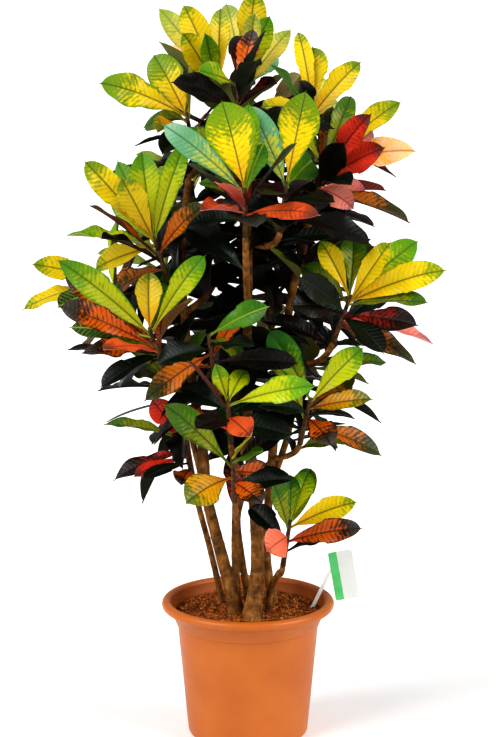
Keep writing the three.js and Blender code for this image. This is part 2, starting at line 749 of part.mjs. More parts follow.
const croton = new THREE.Group();
croton.add(mesh("pot", pot(), TERRACOTTA, 0.45));
croton.add(mesh("soil", soil(), PEAT, 0.95));
croton.add(mesh("plant_label", plantLabel(), WHITE_CARD, 0.5));
for (const [name, solids] of Object.entries(trunkSolids)) {
  croton.add(mesh(name, joined(solids), BARK, 0.85));
}
for (const [name, solids] of Object.entries(growth)) {
  croton.add(mesh(name, joined(solids), name.endsWith("_new") ? NEW_LEAF : OLD_LEAF, 0.35));
}

export default croton;
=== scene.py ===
import math

import bmesh
import bpy
import numpy as np
from mathutils import Matrix, Vector, noise
from mathutils.bvhtree import BVHTree


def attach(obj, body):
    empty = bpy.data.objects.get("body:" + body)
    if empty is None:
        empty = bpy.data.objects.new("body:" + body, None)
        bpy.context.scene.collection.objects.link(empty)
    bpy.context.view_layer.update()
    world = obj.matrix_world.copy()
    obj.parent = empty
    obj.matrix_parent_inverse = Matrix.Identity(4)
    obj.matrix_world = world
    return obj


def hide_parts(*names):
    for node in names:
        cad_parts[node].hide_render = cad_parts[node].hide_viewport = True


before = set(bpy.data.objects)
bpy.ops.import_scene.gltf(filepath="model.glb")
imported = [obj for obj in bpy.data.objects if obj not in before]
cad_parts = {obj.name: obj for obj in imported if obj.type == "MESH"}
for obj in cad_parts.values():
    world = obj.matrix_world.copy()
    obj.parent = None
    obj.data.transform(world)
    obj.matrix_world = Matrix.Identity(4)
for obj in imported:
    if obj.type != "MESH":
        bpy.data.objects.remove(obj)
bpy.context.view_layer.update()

# The pot: a thin-walled nursery container of terracotta-coloured polypropylene, injection moulded, with a
# flaring neck above a faint step, a rolled rim to lift it by, and drain holes in its floor. Sizes are in
# millimetres here and in every section, with the base's centre at the origin.
MM = 0.001
POT_HEIGHT = 194
POT_RIM_RADIUS = 120
POT_NECK_RADIUS = 98
POT_BASE_RADIUS = 84
POT_WALL = 2.6
POT_FLOOR = 4
POT_STEP_HEIGHT = 159
POT_NECK_PROFILE = ((-0.1, -1), (0, 0), (1.2, 0.5), (2, 1.5), (3.6, 6), (6.4, 12.5), (11, 20))
POT_INNER_FLARE = 8.5
POT_RIM_DEPTH = 15
POT_RIM_ROLL = 6.5
POT_RIM_ARC = (-100, 170)
POT_BASE_ROUND = 9
POT_STEPS_ROUND = 128
POT_SHARP_ANGLE = 40
DRAIN_HOLES = 8
DRAIN_RADIUS = 6
DRAIN_CIRCLE = 58


def colour(code):
    """The linear colour that Blender's sockets take, from sRGB hex digits."""
    parts = [int(code[i : i + 2], 16) / 255 for i in (0, 2, 4)]
    linear = [p / 12.92 if p <= 0.04045 else ((p + 0.055) / 1.055) ** 2.4 for p in parts]
    return (*linear, 1.0)


def add(material, kind, settings=None, output=0):
    """Adds a node with its settings and links, each input a value or a socket, and gives back an output."""
    made = material.node_tree.nodes.new("ShaderNode" + kind)
    for name, value in (settings or {}).items():
        if name == "stops":
            ramp = made.color_ramp.elements
            while len(ramp) < len(value):
                ramp.new(0.5)
            for element, (place, code) in zip(ramp, value):
                element.position = place
                element.color = colour(code)
        elif isinstance(value, bpy.types.NodeSocket):
            material.node_tree.links.new(value, made.inputs[name])
        elif isinstance(name, int) or name in made.inputs:
            made.inputs[name].default_value = value
        else:
            setattr(made, name, value)
    return made.outputs[output] if made.outputs else None


def new_material(name):
    """An empty material with nodes."""
    material = bpy.data.materials.new(name)
    material.use_nodes = True
    material.node_tree.nodes.clear()
    return material


def between(low, high, share):
    """The number that lies a share of the way from low to high."""
    return low + (high - low) * share


def arc(centre, radius, start, end, steps):
    """Points of an arc in a profile, its angles in degrees."""
    turns = [math.radians(between(start, end, i / steps)) for i in range(steps + 1)]
    return [(centre[0] + radius * math.cos(a), centre[1] + radius * math.sin(a)) for a in turns]


def turned_round(profile, steps):
    """A bmesh swept once round the Z axis by a line of (radius, height) points."""
    bm = bmesh.new()
    points = [bm.verts.new((r, 0, z)) for r, z in profile]
    lines = [bm.edges.new(pair) for pair in zip(points, points[1:])]
    sweep = {"cent": (0, 0, 0), "axis": (0, 0, 1), "angle": 2 * math.pi, "use_merge": True}
    bmesh.ops.spin(bm, geom=points + lines, steps=steps, **sweep)
    return bm


def spun(profile, steps):
    """A closed shell in a bmesh, from a profile of (radius, height) that starts and ends on the axis."""
    bm = turned_round(profile, steps)
    bmesh.ops.remove_doubles(bm, verts=bm.verts, dist=1e-4)
    bmesh.ops.recalc_face_normals(bm, faces=bm.faces)
    return bm


def piece(name, bm, materials):
    """A smooth object at the origin, in metres, from a bmesh in millimetres."""
    bmesh.ops.scale(bm, vec=(MM, MM, MM), verts=bm.verts)
    mesh = bpy.data.meshes.new(name)
    bm.to_mesh(mesh)
    bm.free()
    for material in materials:
        mesh.materials.append(material)
    mesh.shade_smooth()
    made = bpy.data.objects.new(name, mesh)
    bpy.context.collection.objects.link(made)
    return made


pot_outside = [
    (0, 0),
    *arc((POT_BASE_RADIUS - POT_BASE_ROUND, POT_BASE_ROUND), POT_BASE_ROUND, -90, 0, 6),
    *[(POT_NECK_RADIUS + out, POT_STEP_HEIGHT + up) for out, up in POT_NECK_PROFILE],
]
pot_rim = arc((POT_RIM_RADIUS - POT_RIM_ROLL, POT_HEIGHT - POT_RIM_ROLL), POT_RIM_ROLL, *POT_RIM_ARC, 20)
pot_inside = [
    (POT_NECK_RADIUS + POT_INNER_FLARE, POT_HEIGHT - POT_RIM_DEPTH),
    (POT_NECK_RADIUS - POT_WALL, POT_STEP_HEIGHT),
    (POT_BASE_RADIUS - POT_WALL, POT_FLOOR + POT_BASE_ROUND),
    (POT_BASE_RADIUS - POT_WALL - POT_BASE_ROUND, POT_FLOOR),
    (0, POT_FLOOR),
]

# Polypropylene, injection moulded: an even, slightly waxy satin with a fine mould grain, faintly paler where
# the melt flowed, and dulled here and there by a trace of peat dust.
polypropylene = new_material("terracotta polypropylene, injection moulded")
MOULD_GRAIN_MM = 1.1
FLOW_MM = 70
DUST_MM = 9
pot_place = add(polypropylene, "TexCoord", None, "Object")
pot_flow = add(polypropylene, "TexNoise", {"Scale": 1000 / FLOW_MM, "Detail": 3, "Vector": pot_place})
pot_dust = add(polypropylene, "TexNoise", {"Scale": 1000 / DUST_MM, "Detail": 6, "Vector": pot_place})
pot_grain = add(polypropylene, "TexNoise", {"Scale": 1000 / MOULD_GRAIN_MM, "Detail": 2, "Vector": pot_place})
pot_tone = add(polypropylene, "ValToRGB", {"stops": [(0.3, "a4520e"), (0.7, "b05e16")], "Fac": pot_flow})
pot_dusty = add(
    polypropylene, "MapRange", {"Value": pot_dust, "From Min": 0.58, "From Max": 0.85, "To Max": 0.12}
)
pot_colour = add(
    polypropylene, "Mix", {"data_type": "RGBA", 0: pot_dusty, 6: pot_tone, 7: colour("9a6234")}, 2
)
pot_dullness = add(polypropylene, "MapRange", {
    "Value": pot_dust, "From Min": 0.3, "From Max": 0.7, "To Min": 0.36, "To Max": 0.48,
})
pot_bump = add(polypropylene, "Bump", {"Strength": 0.25, "Distance": 0.0002, "Height": pot_grain})
pot_shader = add(polypropylene, "BsdfPrincipled", {
    "Base Color": pot_colour, "Roughness": pot_dullness, "Normal": pot_bump,
    "IOR": 1.49, "Specular IOR Level": 0.36,
})
add(polypropylene, "OutputMaterial", {"Surface": pot_shader})

pot = piece("nursery_pot", spun(pot_outside + pot_rim + pot_inside, POT_STEPS_ROUND), [polypropylene])
drill = bmesh.new()
for i in range(DRAIN_HOLES):
    turn = 2 * math.pi * (i + 0.5) / DRAIN_HOLES
    size = {"radius1": DRAIN_RADIUS, "radius2": DRAIN_RADIUS, "depth": 4 * POT_FLOOR}
    cut = bmesh.ops.create_cone(drill, cap_ends=True, segments=32, **size)
    centre = (DRAIN_CIRCLE * math.cos(turn), DRAIN_CIRCLE * math.sin(turn), 0)
    bmesh.ops.translate(drill, vec=centre, verts=cut["verts"])
drills = piece("drills", drill, [])
drilled = pot.modifiers.new("drain holes", "BOOLEAN")
drilled.object = drills
drilled.solver = "EXACT"
with_holes = bpy.data.meshes.new_from_object(pot.evaluated_get(bpy.context.evaluated_depsgraph_get()))
pot.modifiers.clear()
pot.data = with_holes
bpy.data.objects.remove(drills)
for edge in pot.data.edges:
    edge.use_edge_sharp = False
pot.data.set_sharp_from_angle(angle=math.radians(POT_SHARP_ANGLE))
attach(pot, "root")
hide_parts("pot")

# The potting mix: coir and peat, filled to below the rim and settled, crumbly on top with loose fibres and
# chips, a little heaped round the stems. It is one closed mass that follows the pot's inside.
SOIL_LEVEL = 175
SOIL_CLEARANCE = 0.3
SOIL_STEPS_ROUND = 220
SOIL_RINGS = 60
SOIL_RISE = 5
SOIL_FLARE = 4.5
SOIL_SEED = 41
SOIL_HEAP = (3, 1, -3)
HEAP_RADII = (0, 68, 102.5)
CALM_EDGE = (94, 102.5)
HUMMOCK_MM = 26
HUMMOCK_HEIGHT = 1.6
CRUMB_MM = 7
CRUMB_HEIGHT = 3.2
COIR_BITS = 4200
COIR_BIT_LENGTH = (1.6, 7)
COIR_BIT_WIDTH = (0.8, 2.8)
COIR_BIT_FLATNESS = 0.8
COIR_BIT_TILT = 24
COIR_BITS_INSET = 6
COIR_BIT_LIFT = 0.5
BODY_TONE = 0.42
MAPPED_DEPTH = 8
HIDDEN_MAP_SCALE = 0.02


def draws(seed):
    """A repeatable stream of numbers from 0 to 1."""
    state = seed
    while True:
        state = (state * 1664525 + 1013904223) % 4294967296
        yield state / 4294967296


def soil_height(x, y):
    """Height of the potting mix's crumbly top."""
    out = math.hypot(x, y)
    calm = np.interp(out, HEAP_RADII, SOIL_HEAP) + SOIL_RISE * np.interp(y, (-20, 95), (0, 1))
    lumps = noise.fractal(Vector((x, y, 0)) / HUMMOCK_MM, 1.0, 2.0, 3) * HUMMOCK_HEIGHT
    crumbs = noise.fractal(Vector((x, y, 40)) / CRUMB_MM, 0.8, 2.1, 4) * CRUMB_HEIGHT
    return SOIL_LEVEL + calm + (lumps + crumbs) * np.interp(out, CALM_EDGE, (1, 0.35))


soil_taper = (POT_NECK_RADIUS - POT_BASE_RADIUS) / (POT_STEP_HEIGHT - POT_FLOOR - POT_BASE_ROUND)
soil_wall = POT_BASE_RADIUS - POT_WALL - SOIL_CLEARANCE
soil_edge = POT_NECK_RADIUS + SOIL_FLARE
soil_profile = [
    (0, POT_FLOOR + SOIL_CLEARANCE),
    (soil_wall - POT_BASE_ROUND, POT_FLOOR + SOIL_CLEARANCE),
    (soil_wall, POT_FLOOR + POT_BASE_ROUND),
    (soil_wall + soil_taper * (POT_STEP_HEIGHT - POT_FLOOR - POT_BASE_ROUND), POT_STEP_HEIGHT),
    *[(soil_edge * (1 - i / SOIL_RINGS), SOIL_LEVEL) for i in range(SOIL_RINGS + 1)],
]


def point_attribute(mesh, name, values):
    """Gives a mesh's points a named vector, or a colour where there are four numbers."""
    if values.shape[1] == 4:
        mesh.color_attributes.new(name, "FLOAT_COLOR", "POINT").data.foreach_set("color", values.ravel())
    else:
        mesh.attributes.new(name, "FLOAT_VECTOR", "POINT").data.foreach_set("vector", values.ravel())


def template(bm):
    """A mesh to be copied many times, with its points as an array. It is freed from its bmesh."""
    mesh = bpy.data.meshes.new("template")
    bm.to_mesh(mesh)
    bm.free()
    points = np.empty(len(mesh.vertices) * 3)
    mesh.vertices.foreach_get("co", points)
    return mesh, points.reshape(-1, 3)


def assembled(name, parts, materials):
    """One object of many closed parts, each a template's mesh with new places and with its attributes."""
    bm = bmesh.new()
    for mesh, _, _ in parts:
        bm.from_mesh(mesh)
    made = piece(name, bm, materials)
    places = np.concatenate([where for _, where, _ in parts]) * MM
    made.data.vertices.foreach_set("co", places.ravel())
    for key in parts[0][2]:
        point_attribute(made.data, key, np.concatenate([facts[key] for _, _, facts in parts]))
    if made.data.uv_layers:
        cells = math.ceil(math.sqrt(len(parts)))
        corners = np.empty(len(made.data.loops) * 2)
        made.data.uv_layers[0].uv.foreach_get("vector", corners)
        number = np.repeat(np.arange(len(parts)), [len(mesh.loops) for mesh, _, _ in parts])
        corners = (corners.reshape(-1, 2) + np.stack([number % cells, number // cells], 1)) / cells
        made.data.uv_layers[0].uv.foreach_set("vector", corners.ravel())
    made.data.update()
    return made


soil_body, soil_points = template(spun(soil_profile, SOIL_STEPS_ROUND))
for point in soil_points:
    if point[2] > SOIL_LEVEL - 1:
        point[2] = soil_height(point[0], point[1])
soil_parts = [(soil_body, soil_points, {"bit": np.full((len(soil_points), 3), BODY_TONE)})]
crumb_bm = bmesh.new()
bmesh.ops.create_icosphere(crumb_bm, subdivisions=1, radius=0.5)
crumb, crumb_points = template(crumb_bm)
soil_draw = draws(SOIL_SEED)
for i in range(COIR_BITS):
    turn = 2 * math.pi * next(soil_draw)
    out = (soil_edge - COIR_BITS_INSET) * math.sqrt(next(soil_draw))
    size = between(*COIR_BIT_LENGTH, next(soil_draw) ** 2)
    slim = min(size, between(*COIR_BIT_WIDTH, next(soil_draw) ** 2))
    tone = next(soil_draw)
    tilt = Matrix.Rotation(math.radians(between(-COIR_BIT_TILT, COIR_BIT_TILT, next(soil_draw))), 3, "Y")
    spin = Matrix.Rotation(2 * math.pi * next(soil_draw), 3, "Z")
    x = out * math.cos(turn)
    y = out * math.sin(turn)
    lying = crumb_points * (size, slim, slim * COIR_BIT_FLATNESS) @ np.array(spin @ tilt).T
    lying += (x, y, soil_height(x, y) + COIR_BIT_LIFT)
    soil_parts.append((crumb, lying, {"bit": np.full((len(lying), 3), tone)}))

# Coir and peat, milled and moist: orange-brown crumbs without gloss, lighter and darker at random, with light
# tan fibres among them; the near-black in the hollows of the bump is painted shade.
coir = new_material("coir and peat potting mix, milled")
LUMP_MM = 9
soil_place = add(coir, "TexCoord", None, "Object")
soil_lump = add(
    coir, "TexNoise", {"Scale": 1000 / LUMP_MM, "Detail": 8, "Roughness": 0.75, "Vector": soil_place}
)
soil_bit = add(coir, "Attribute", {"attribute_name": "bit"}, "Fac")
soil_bit_share = add(coir, "MapRange", {"Value": soil_bit, "To Min": -0.2, "To Max": 0.24})
soil_sum = add(coir, "Math", {"operation": "ADD", 0: soil_lump, 1: soil_bit_share})
# One lump noise sets both this tone and the bump, so the ramp's darkest stop is painted shade in the hollows.
soil_tone_and_hollow_shade = add(coir, "ValToRGB", {
    "stops": [(0.26, "220f06"), (0.42, "5e3012"), (0.55, "944f20"), (0.68, "b47036"), (0.82, "dcac70")],
    "Fac": soil_sum,
})
soil_bump = add(coir, "Bump", {"Strength": 0.9, "Distance": 0.0014, "Height": soil_lump})
soil_shader = add(coir, "BsdfPrincipled", {
    "Base Color": soil_tone_and_hollow_shade, "Normal": soil_bump, "Roughness": 0.92, "Specular IOR Level": 0.06,
})
add(coir, "OutputMaterial", {"Surface": soil_shader})

soil = assembled("potting_mix", soil_parts, [coir])
seen_from_above = np.concatenate([where for _, where, _ in soil_parts])
soil_corner = np.empty(len(soil.data.loops), int)
soil.data.loops.foreach_get("vertex_index", soil_corner)
soil_map = seen_from_above[soil_corner, :2] / (2 * POT_RIM_RADIUS) + 0.5
soil_map[seen_from_above[soil_corner, 2] < SOIL_LEVEL - MAPPED_DEPTH] *= HIDDEN_MAP_SCALE
soil.data.uv_layers.new(name="OFBake").uv.foreach_set("vector", soil_map.ravel())
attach(soil, "root")
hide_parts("soil")

# The trunks and their branches: woody stems ringed by old leaf scars. Each is a list of [x, y, z, radius]
# from the soil up; it stands in the mix, and its branches leave it outwards towards the leafy heads.
PLANTING_DEPTH = 60
TRUNKS = {
    "trunk_left": [
        (-16, -14, SOIL_LEVEL, 10.5), (-36, -12, 257, 8.5), (-55, -8, 334, 7.5), (-62, -12, 410, 7),
        (-75, -18, 500, 6), (-86, -22, 600, 5.5), (-88, -10, 690, 5), (-80, 4, 780, 4.5),
    ],
    "trunk_left_thin": [
        (-37, 30, SOIL_LEVEL, 4.5), (-52, 34, 250, 4.2), (-72, 36, 330, 4), (-88, 52, 420, 4),
        (-104, 68, 520, 3.8), (-114, 74, 560, 3.8),
    ],
    "trunk_centre": [
        (6, -36, SOIL_LEVEL, 12.5), (13, -22, 240, 9.5), (10, -16, 334, 9), (2, -20, 420, 7.5),
        (-2, -26, 510, 6.5), (0, -34, 610, 6), (0, -42, 700, 5.5), (-6, -52, 790, 5),
    ],
    "trunk_back": [
        (-16, 48, SOIL_LEVEL, 6), (-18, 56, 260, 5.5), (-14, 62, 380, 5.5), (-8, 68, 500, 5),
        (-6, 72, 640, 5), (-8, 70, 760, 4.5), (-8, 66, 820, 4.5),
    ],
    "trunk_right": [
        (34, 30, SOIL_LEVEL, 7), (26, 24, 250, 6), (30, 18, 350, 6), (38, 10, 440, 6), (48, 4, 530, 6),
        (58, 2, 614, 5.5), (76, 2, 690, 5), (86, 6, 780, 4.5),
    ],
    "trunk_right_low": [
        (28, -6, SOIL_LEVEL, 4.8), (32, -12, 212, 4.5), (43, -30, 240, 4.2),
    ],
    "trunk_front": [
        (2, 14, SOIL_LEVEL, 5.5), (-9, 4, 250, 5), (-14, -22, 320, 4.5), (2, -48, 370, 4.5),
        (36, -70, 410, 4),
    ],
}
TRUNK_SIDES = 18
BRANCH_SIDES = 12
BRANCH_RADIUS = 4
BRANCH_BEND = 0.45
STEM_STATION = 3
SCAR_SPACING = (12, 26)
SCAR_WIDTH = 1.7
SCAR_HEIGHT = 0.055
SCAR_TILT = 1.5
FLARE_HEIGHT = 16
TRUNK_FLARE = 0.16
TRUNK_RIDGES = 0.07
BRANCH_STEPS = 30

# Leafy heads: the trunk, and the trunk's point that the shoot branches from, the shoot's tip, and the leaves
# that show from the front, each as (right, back, up) from the shoot's tip to the leaf's tip, its width, how
# far its upper side turns from facing up (0) to facing front (90), and its colour.
HEADS = {
    "crown_red": ["trunk_centre", 7, [-13, -70, 909], [
        (-50, -70, 20, 32, 60, "lime"), (5, 60, 60, 36, 90, "wine"), (20, 40, 70, 32, 25, "ember"),
        (35, -40, 70, 30, 15, "plum"), (25, -90, 35, 36, 20, "plum"), (50, -75, 5, 34, 45, "wine"),
        (-85, -45, 5, 42, 60, "plum"),
    ]],
    "crown_left": ["trunk_back", 6, [-42, 30, 914], [
        (-45, 10, 95, 42, 80, "gold"), (-80, 40, 90, 36, 70, "pale"), (5, 45, 90, 32, 60, "gold"),
        (-45, -55, 60, 40, 85, "gold"), (-15, -60, 60, 28, 70, "lime"), (-70, 55, 40, 36, 70, "cream"),
    ]],
    "crown_top": ["trunk_back", 6, [-5, 70, 909], [
        (15, 0, 120, 44, 90, "gold"), (15, -45, 90, 28, 60, "pale"), (35, -20, 85, 36, 80, "lime"),
        (-25, 60, 100, 32, 70, "pale"), (65, 40, 65, 36, 60, "pale"), (45, 75, 30, 36, 70, "jade"),
        (-5, 75, 85, 32, 70, "ruby"),
    ]],
    "upper_left": ["trunk_left", 7, [-83, 10, 867], [
        (-45, 40, 75, 44, 80, "crest"), (-115, -20, 40, 42, 60, "crest"), (-20, 65, 60, 36, 80, "lime"),
        (-60, 60, -25, 36, 50, "olive"), (-35, -90, -20, 42, 40, "honey"), (-30, -75, -50, 40, 50, "plum"),
    ]],
    "upper_right": ["trunk_right", 7, [87, 10, 873], [
        (0, 40, 80, 44, 88, "gold"), (-20, 35, 100, 26, 80, "gold"), (-70, -60, 5, 38, 50, "gold"),
        (25, 80, 30, 36, 70, "pale"), (40, 80, 0, 36, 60, "pale"), (65, 20, 60, 38, 60, "gold"),
        (-20, -75, 40, 36, 60, "plum"),
    ]],
    "front_left": ["trunk_centre", 5, [-4, -150, 782], [
        (-30, 25, 110, 60, 88, "crest"), (5, 50, 105, 36, 85, "lime"), (-105, 10, 80, 38, 60, "jade"),
        (25, 30, 55, 28, 50, "green"), (-70, 60, 50, 36, 70, "olive"), (-60, 65, 0, 32, 40, "olive"),
        (65, -30, 60, 34, 20, "slate"), (-75, -30, 35, 32, 15, "slate"), (-35, -85, 15, 32, 10, "coral"),
        (-55, -75, -20, 36, 20, "coral"), (95, -40, -30, 40, 35, "coral"), (15, -85, -40, 40, 40, "slate"),
    ]],
    "front_right": ["trunk_centre", 6, [50, -120, 787], [
        (25, 35, 115, 50, 88, "crest"), (-50, 25, 110, 42, 80, "jade"), (35, 80, 20, 46, 90, "green"),
        (-35, -80, 20, 44, 30, "plum"), (30, -85, 10, 32, 10, "slate"), (60, -65, -20, 40, 35, "plum"),
        (-5, -80, -40, 40, 30, "plum"),
    ]],
    "right_red": ["trunk_right", 6, [103, -50, 809], [
        (35, 60, 80, 32, 80, "olive"), (100, 20, 75, 36, 50, "gold"), (120, 10, 10, 44, 75, "cream"),
        (10, 35, 80, 36, 85, "amber"), (55, -15, 65, 36, 75, "ruby"), (65, 50, 35, 36, 70, "pink"),
        (75, -45, 20, 44, 60, "ruby"), (20, -80, 30, 40, 90, "plum"), (30, -80, -25, 32, 45, "plum"),
        (55, 30, -50, 36, 75, "pink"), (35, -50, -60, 36, 75, "pink"),
    ]],
    "right_back": ["trunk_right", 5, [81, 20, 732], [
        (50, 65, 10, 32, 45, "olive"), (35, -80, 5, 36, 50, "plum"), (60, -60, -25, 38, 50, "plum"),
        (35, -80, -25, 28, 20, "ruby"), (55, 50, -45, 36, 60, "amber"),
    ]],
    "left_upper": ["trunk_left", 5, [-125, -70, 710], [
        (-15, 30, 110, 48, 88, "lime"), (45, 10, 125, 34, 70, "lime"), (-90, 0, 100, 40, 75, "gold"),
        (-40, -25, 80, 44, 85, "gold"), (-50, 60, 95, 36, 80, "lime"), (-60, 40, 60, 44, 85, "lime"),
        (-115, 10, 0, 36, 12, "lime"), (-80, 40, -50, 36, 60, "gold"), (70, -35, 45, 36, 50, "amber"),
        (-80, -40, 45, 32, 15, "ember"), (-65, -60, 5, 36, 20, "plum"),
    ]],
    "left_lower": ["trunk_left", 4, [-130, -100, 593], [
        (0, 30, 70, 40, 88, "gold"), (20, 70, 70, 36, 85, "green"), (75, 10, 95, 36, 75, "lime"),
        (-120, 0, 90, 44, 70, "lime"), (-105, 0, 0, 40, 45, "forest"), (60, -45, 45, 36, 15, "amber"),
        (-115, 30, 65, 40, 65, "ember"), (-115, -40, 35, 40, 55, "ember"), (-85, -50, -25, 36, 30, "ember"),
        (-55, -80, -15, 36, 30, "coral"), (-110, 30, -35, 30, 10, "plum"), (-65, 0, -80, 34, 25, "plum"),
    ]],
    "far_left": ["trunk_left_thin", 5, [-195, 20, 640], [
        (-100, 0, 20, 38, 60, "gold"), (-115, 10, -45, 36, 25, "gold"), (-60, -60, -30, 36, 45, "forest"),
        (-70, 50, 10, 36, 50, "plum"),
    ]],
    "right_mid": ["trunk_right", 4, [135, -90, 634], [
        (-40, 30, 70, 34, 70, "gold"), (-10, 60, 65, 36, 80, "fern"), (5, 50, 75, 38, 80, "olive"),
        (90, 20, 70, 44, 75, "lime"), (125, -10, 35, 44, 70, "gold"), (-65, 60, 30, 40, 70, "olive"),
        (100, -30, -5, 34, 15, "olive"), (50, -30, 75, 36, 50, "gold"), (-70, -45, 30, 44, 60, "plum"),
        (-80, -50, -5, 44, 55, "plum"), (85, -60, -30, 42, 55, "wine"), (40, -70, -65, 36, 45, "plum"),
        (110, 0, -65, 34, 20, "pink"), (20, 70, -60, 36, 60, "ruby"), (30, 60, -70, 38, 50, "amber"),
    ]],
    "low_right": ["trunk_front", 4, [83, -100, 499], [
        (-55, 10, 90, 44, 80, "fern"), (70, 15, 65, 42, 75, "lime"), (60, 55, 20, 36, 50, "amber"),
        (80, -35, 5, 36, 45, "honey"), (-70, -55, 0, 38, 45, "plum"), (60, 30, -35, 24, 10, "plum"),
        (25, -70, -50, 42, 60, "ember"),
    ]],
    "centre_low": ["trunk_front", 3, [-27, -140, 507], [
        (-15, -30, 50, 24, 60, "lime"), (25, 60, 25, 28, 60, "lime"), (115, -10, 20, 40, 60, "lime"),
        (-50, -30, 55, 28, 10, "ember"), (-60, 70, 0, 44, 50, "plum"), (55, 65, -10, 36, 40, "plum"),
        (30, -75, -35, 40, 60, "coral"), (-40, -75, -25, 36, 50, "plum"), (85, 0, -50, 44, 50, "plum"),
    ]],
    "centre_lowest": ["trunk_front", 2, [-21, -130, 427], [
        (25, -60, 40, 32, 40, "gold"), (40, -60, 20, 28, 40, "green"), (-90, 0, 70, 44, 65, "olive"),
        (55, 50, -40, 36, 50, "ember"), (-60, -60, -50, 56, 65, "honey"), (40, -60, -50, 40, 60, "ember"),
        (80, -30, -25, 40, 45, "plum"),
    ]],
    "left_droop": ["trunk_left_thin", 2, [-89, -20, 429], [
        (-110, 30, 10, 28, 10, "olive"), (-45, 60, 40, 38, 70, "ruby"), (-95, -10, -60, 36, 20, "wine"),
        (-65, -50, -45, 32, 20, "ruby"), (-50, -85, -40, 28, 20, "plum"), (0, -75, -50, 36, 60, "ember"),
    ]],
    "bottom_right": ["trunk_right_low", 2, [57, -80, 327], [
        (0, 35, 55, 28, 70, "fern"), (25, 40, 55, 36, 80, "lime"), (30, 70, 55, 36, 70, "olive"),
        (90, 0, 25, 38, 70, "gold"), (-25, -30, 60, 32, 40, "olive"), (-32, -35, -34, 40, 78, "salmon"),
        (95, -30, 0, 36, 60, "ember"), (-55, 65, 5, 36, 40, "plum"), (45, 30, -35, 24, 10, "plum"),
    ]],
    "centre_mid": ["trunk_centre", 4, [-52, -110, 586], [
        (80, -20, 40, 38, 60, "green"), (50, 50, -40, 36, 50, "olive"), (60, -60, -5, 36, 30, "plum"),
        (-65, -60, -30, 42, 50, "plum"), (-85, 0, -90, 40, 60, "amber"),
    ]],
    "back_top": ["trunk_back", 5, [30, 130, 850], []],
    "back_right_high": ["trunk_right", 5, [100, 95, 770], []],
    "back_left_high": ["trunk_back", 4, [-80, 125, 760], []],
    "back_left": ["trunk_left_thin", 4, [-120, 120, 650], []],
    "back_right": ["trunk_right", 3, [115, 105, 620], []],
    "back_low": ["trunk_back", 2, [5, 140, 520], []],
    "heart_left": ["trunk_left", 5, [-52, 34, 730], []],
    "heart_right": ["trunk_right", 4, [34, 46, 690], []],
    "heart_middle": ["trunk_back", 3, [-34, 20, 600], []],
    "heart_low_right": ["trunk_right", 2, [74, 20, 520], []],
    "heart_low_left": ["trunk_left", 2, [-96, 40, 490], []],
}
SHOOT_LENGTH = 70
SHOOT_OUTWARD_LEAN = 400


def unit(v):
    """A vector or an array of vectors, each made of length 1."""
    v = np.asarray(v, float)
    return v / np.linalg.norm(v, axis=-1, keepdims=True)


def shoot_axis(tip):
    """The way that a shoot grows: up, and a little away from the pot's axis."""
    return unit([tip[0] / SHOOT_OUTWARD_LEAN, tip[1] / SHOOT_OUTWARD_LEAN, 1])


def branch_bend(trunk, fork, tip):
    """A branch's start on its trunk, its knee, and its end where the leafy shoot begins."""
    start = np.array(TRUNKS[trunk][fork][:3], float)
    axis = shoot_axis(tip)
    end = np.array(tip) - axis * SHOOT_LENGTH
    return start, end - axis * np.linalg.norm(end - start) * BRANCH_BEND, end


def bent_line(start, knee, end, way):
    """Points of a smooth line from start to end that bends towards its knee, at shares of the way along."""
    return (1 - way) ** 2 * start + 2 * way * (1 - way) * knee + way**2 * end


def branching(axis, turn, spread):
    """A way that spreads from an axis by one angle and is turned round it by another."""
    side = unit(np.cross((0, 1, 0), axis))
    out = side * math.cos(turn) + np.cross(axis, side) * math.sin(turn)
    return axis * math.cos(spread) + out * math.sin(spread)


def smooth_course(points, steps):
    """Places and radii along a smooth curve through [x, y, z, radius] points."""
    points = np.asarray(points, float)
    ends = [2 * points[0] - points[1], *points, 2 * points[-1] - points[-2]]
    course = []
    for a, b, c, d in zip(ends, ends[1:], ends[2:], ends[3:]):
        pairs = ((a, b), (b, c), (c, d))
        before, here, after = (max(np.linalg.norm((q - p)[:3]), 1e-3) ** 0.5 for p, q in pairs)
        into = (b - a) / before - (c - a) / (before + here) + (c - b) / here
        onto = (c - b) / here - (d - b) / (here + after) + (d - c) / after
        into *= here
        onto *= here
        for t in np.arange(steps) / steps:
            course.append(
                (2 * t**3 - 3 * t**2 + 1) * b + (t**3 - 2 * t**2 + t) * into
                + (3 * t**2 - 2 * t**3) * c + (t**3 - t**2) * onto
            )
    course.append(points[-1])
    return np.array(course)


def rough_at(x, y, far, seed):
    """How far bark stands out at a place round a stem: in long ridges with smaller ones on them."""
    coarse = noise.noise(Vector((3 * x, 3 * y, far / 30 + seed)))
    return coarse + 0.5 * noise.noise(Vector((6 * x, 6 * y, far / 9 + seed)))


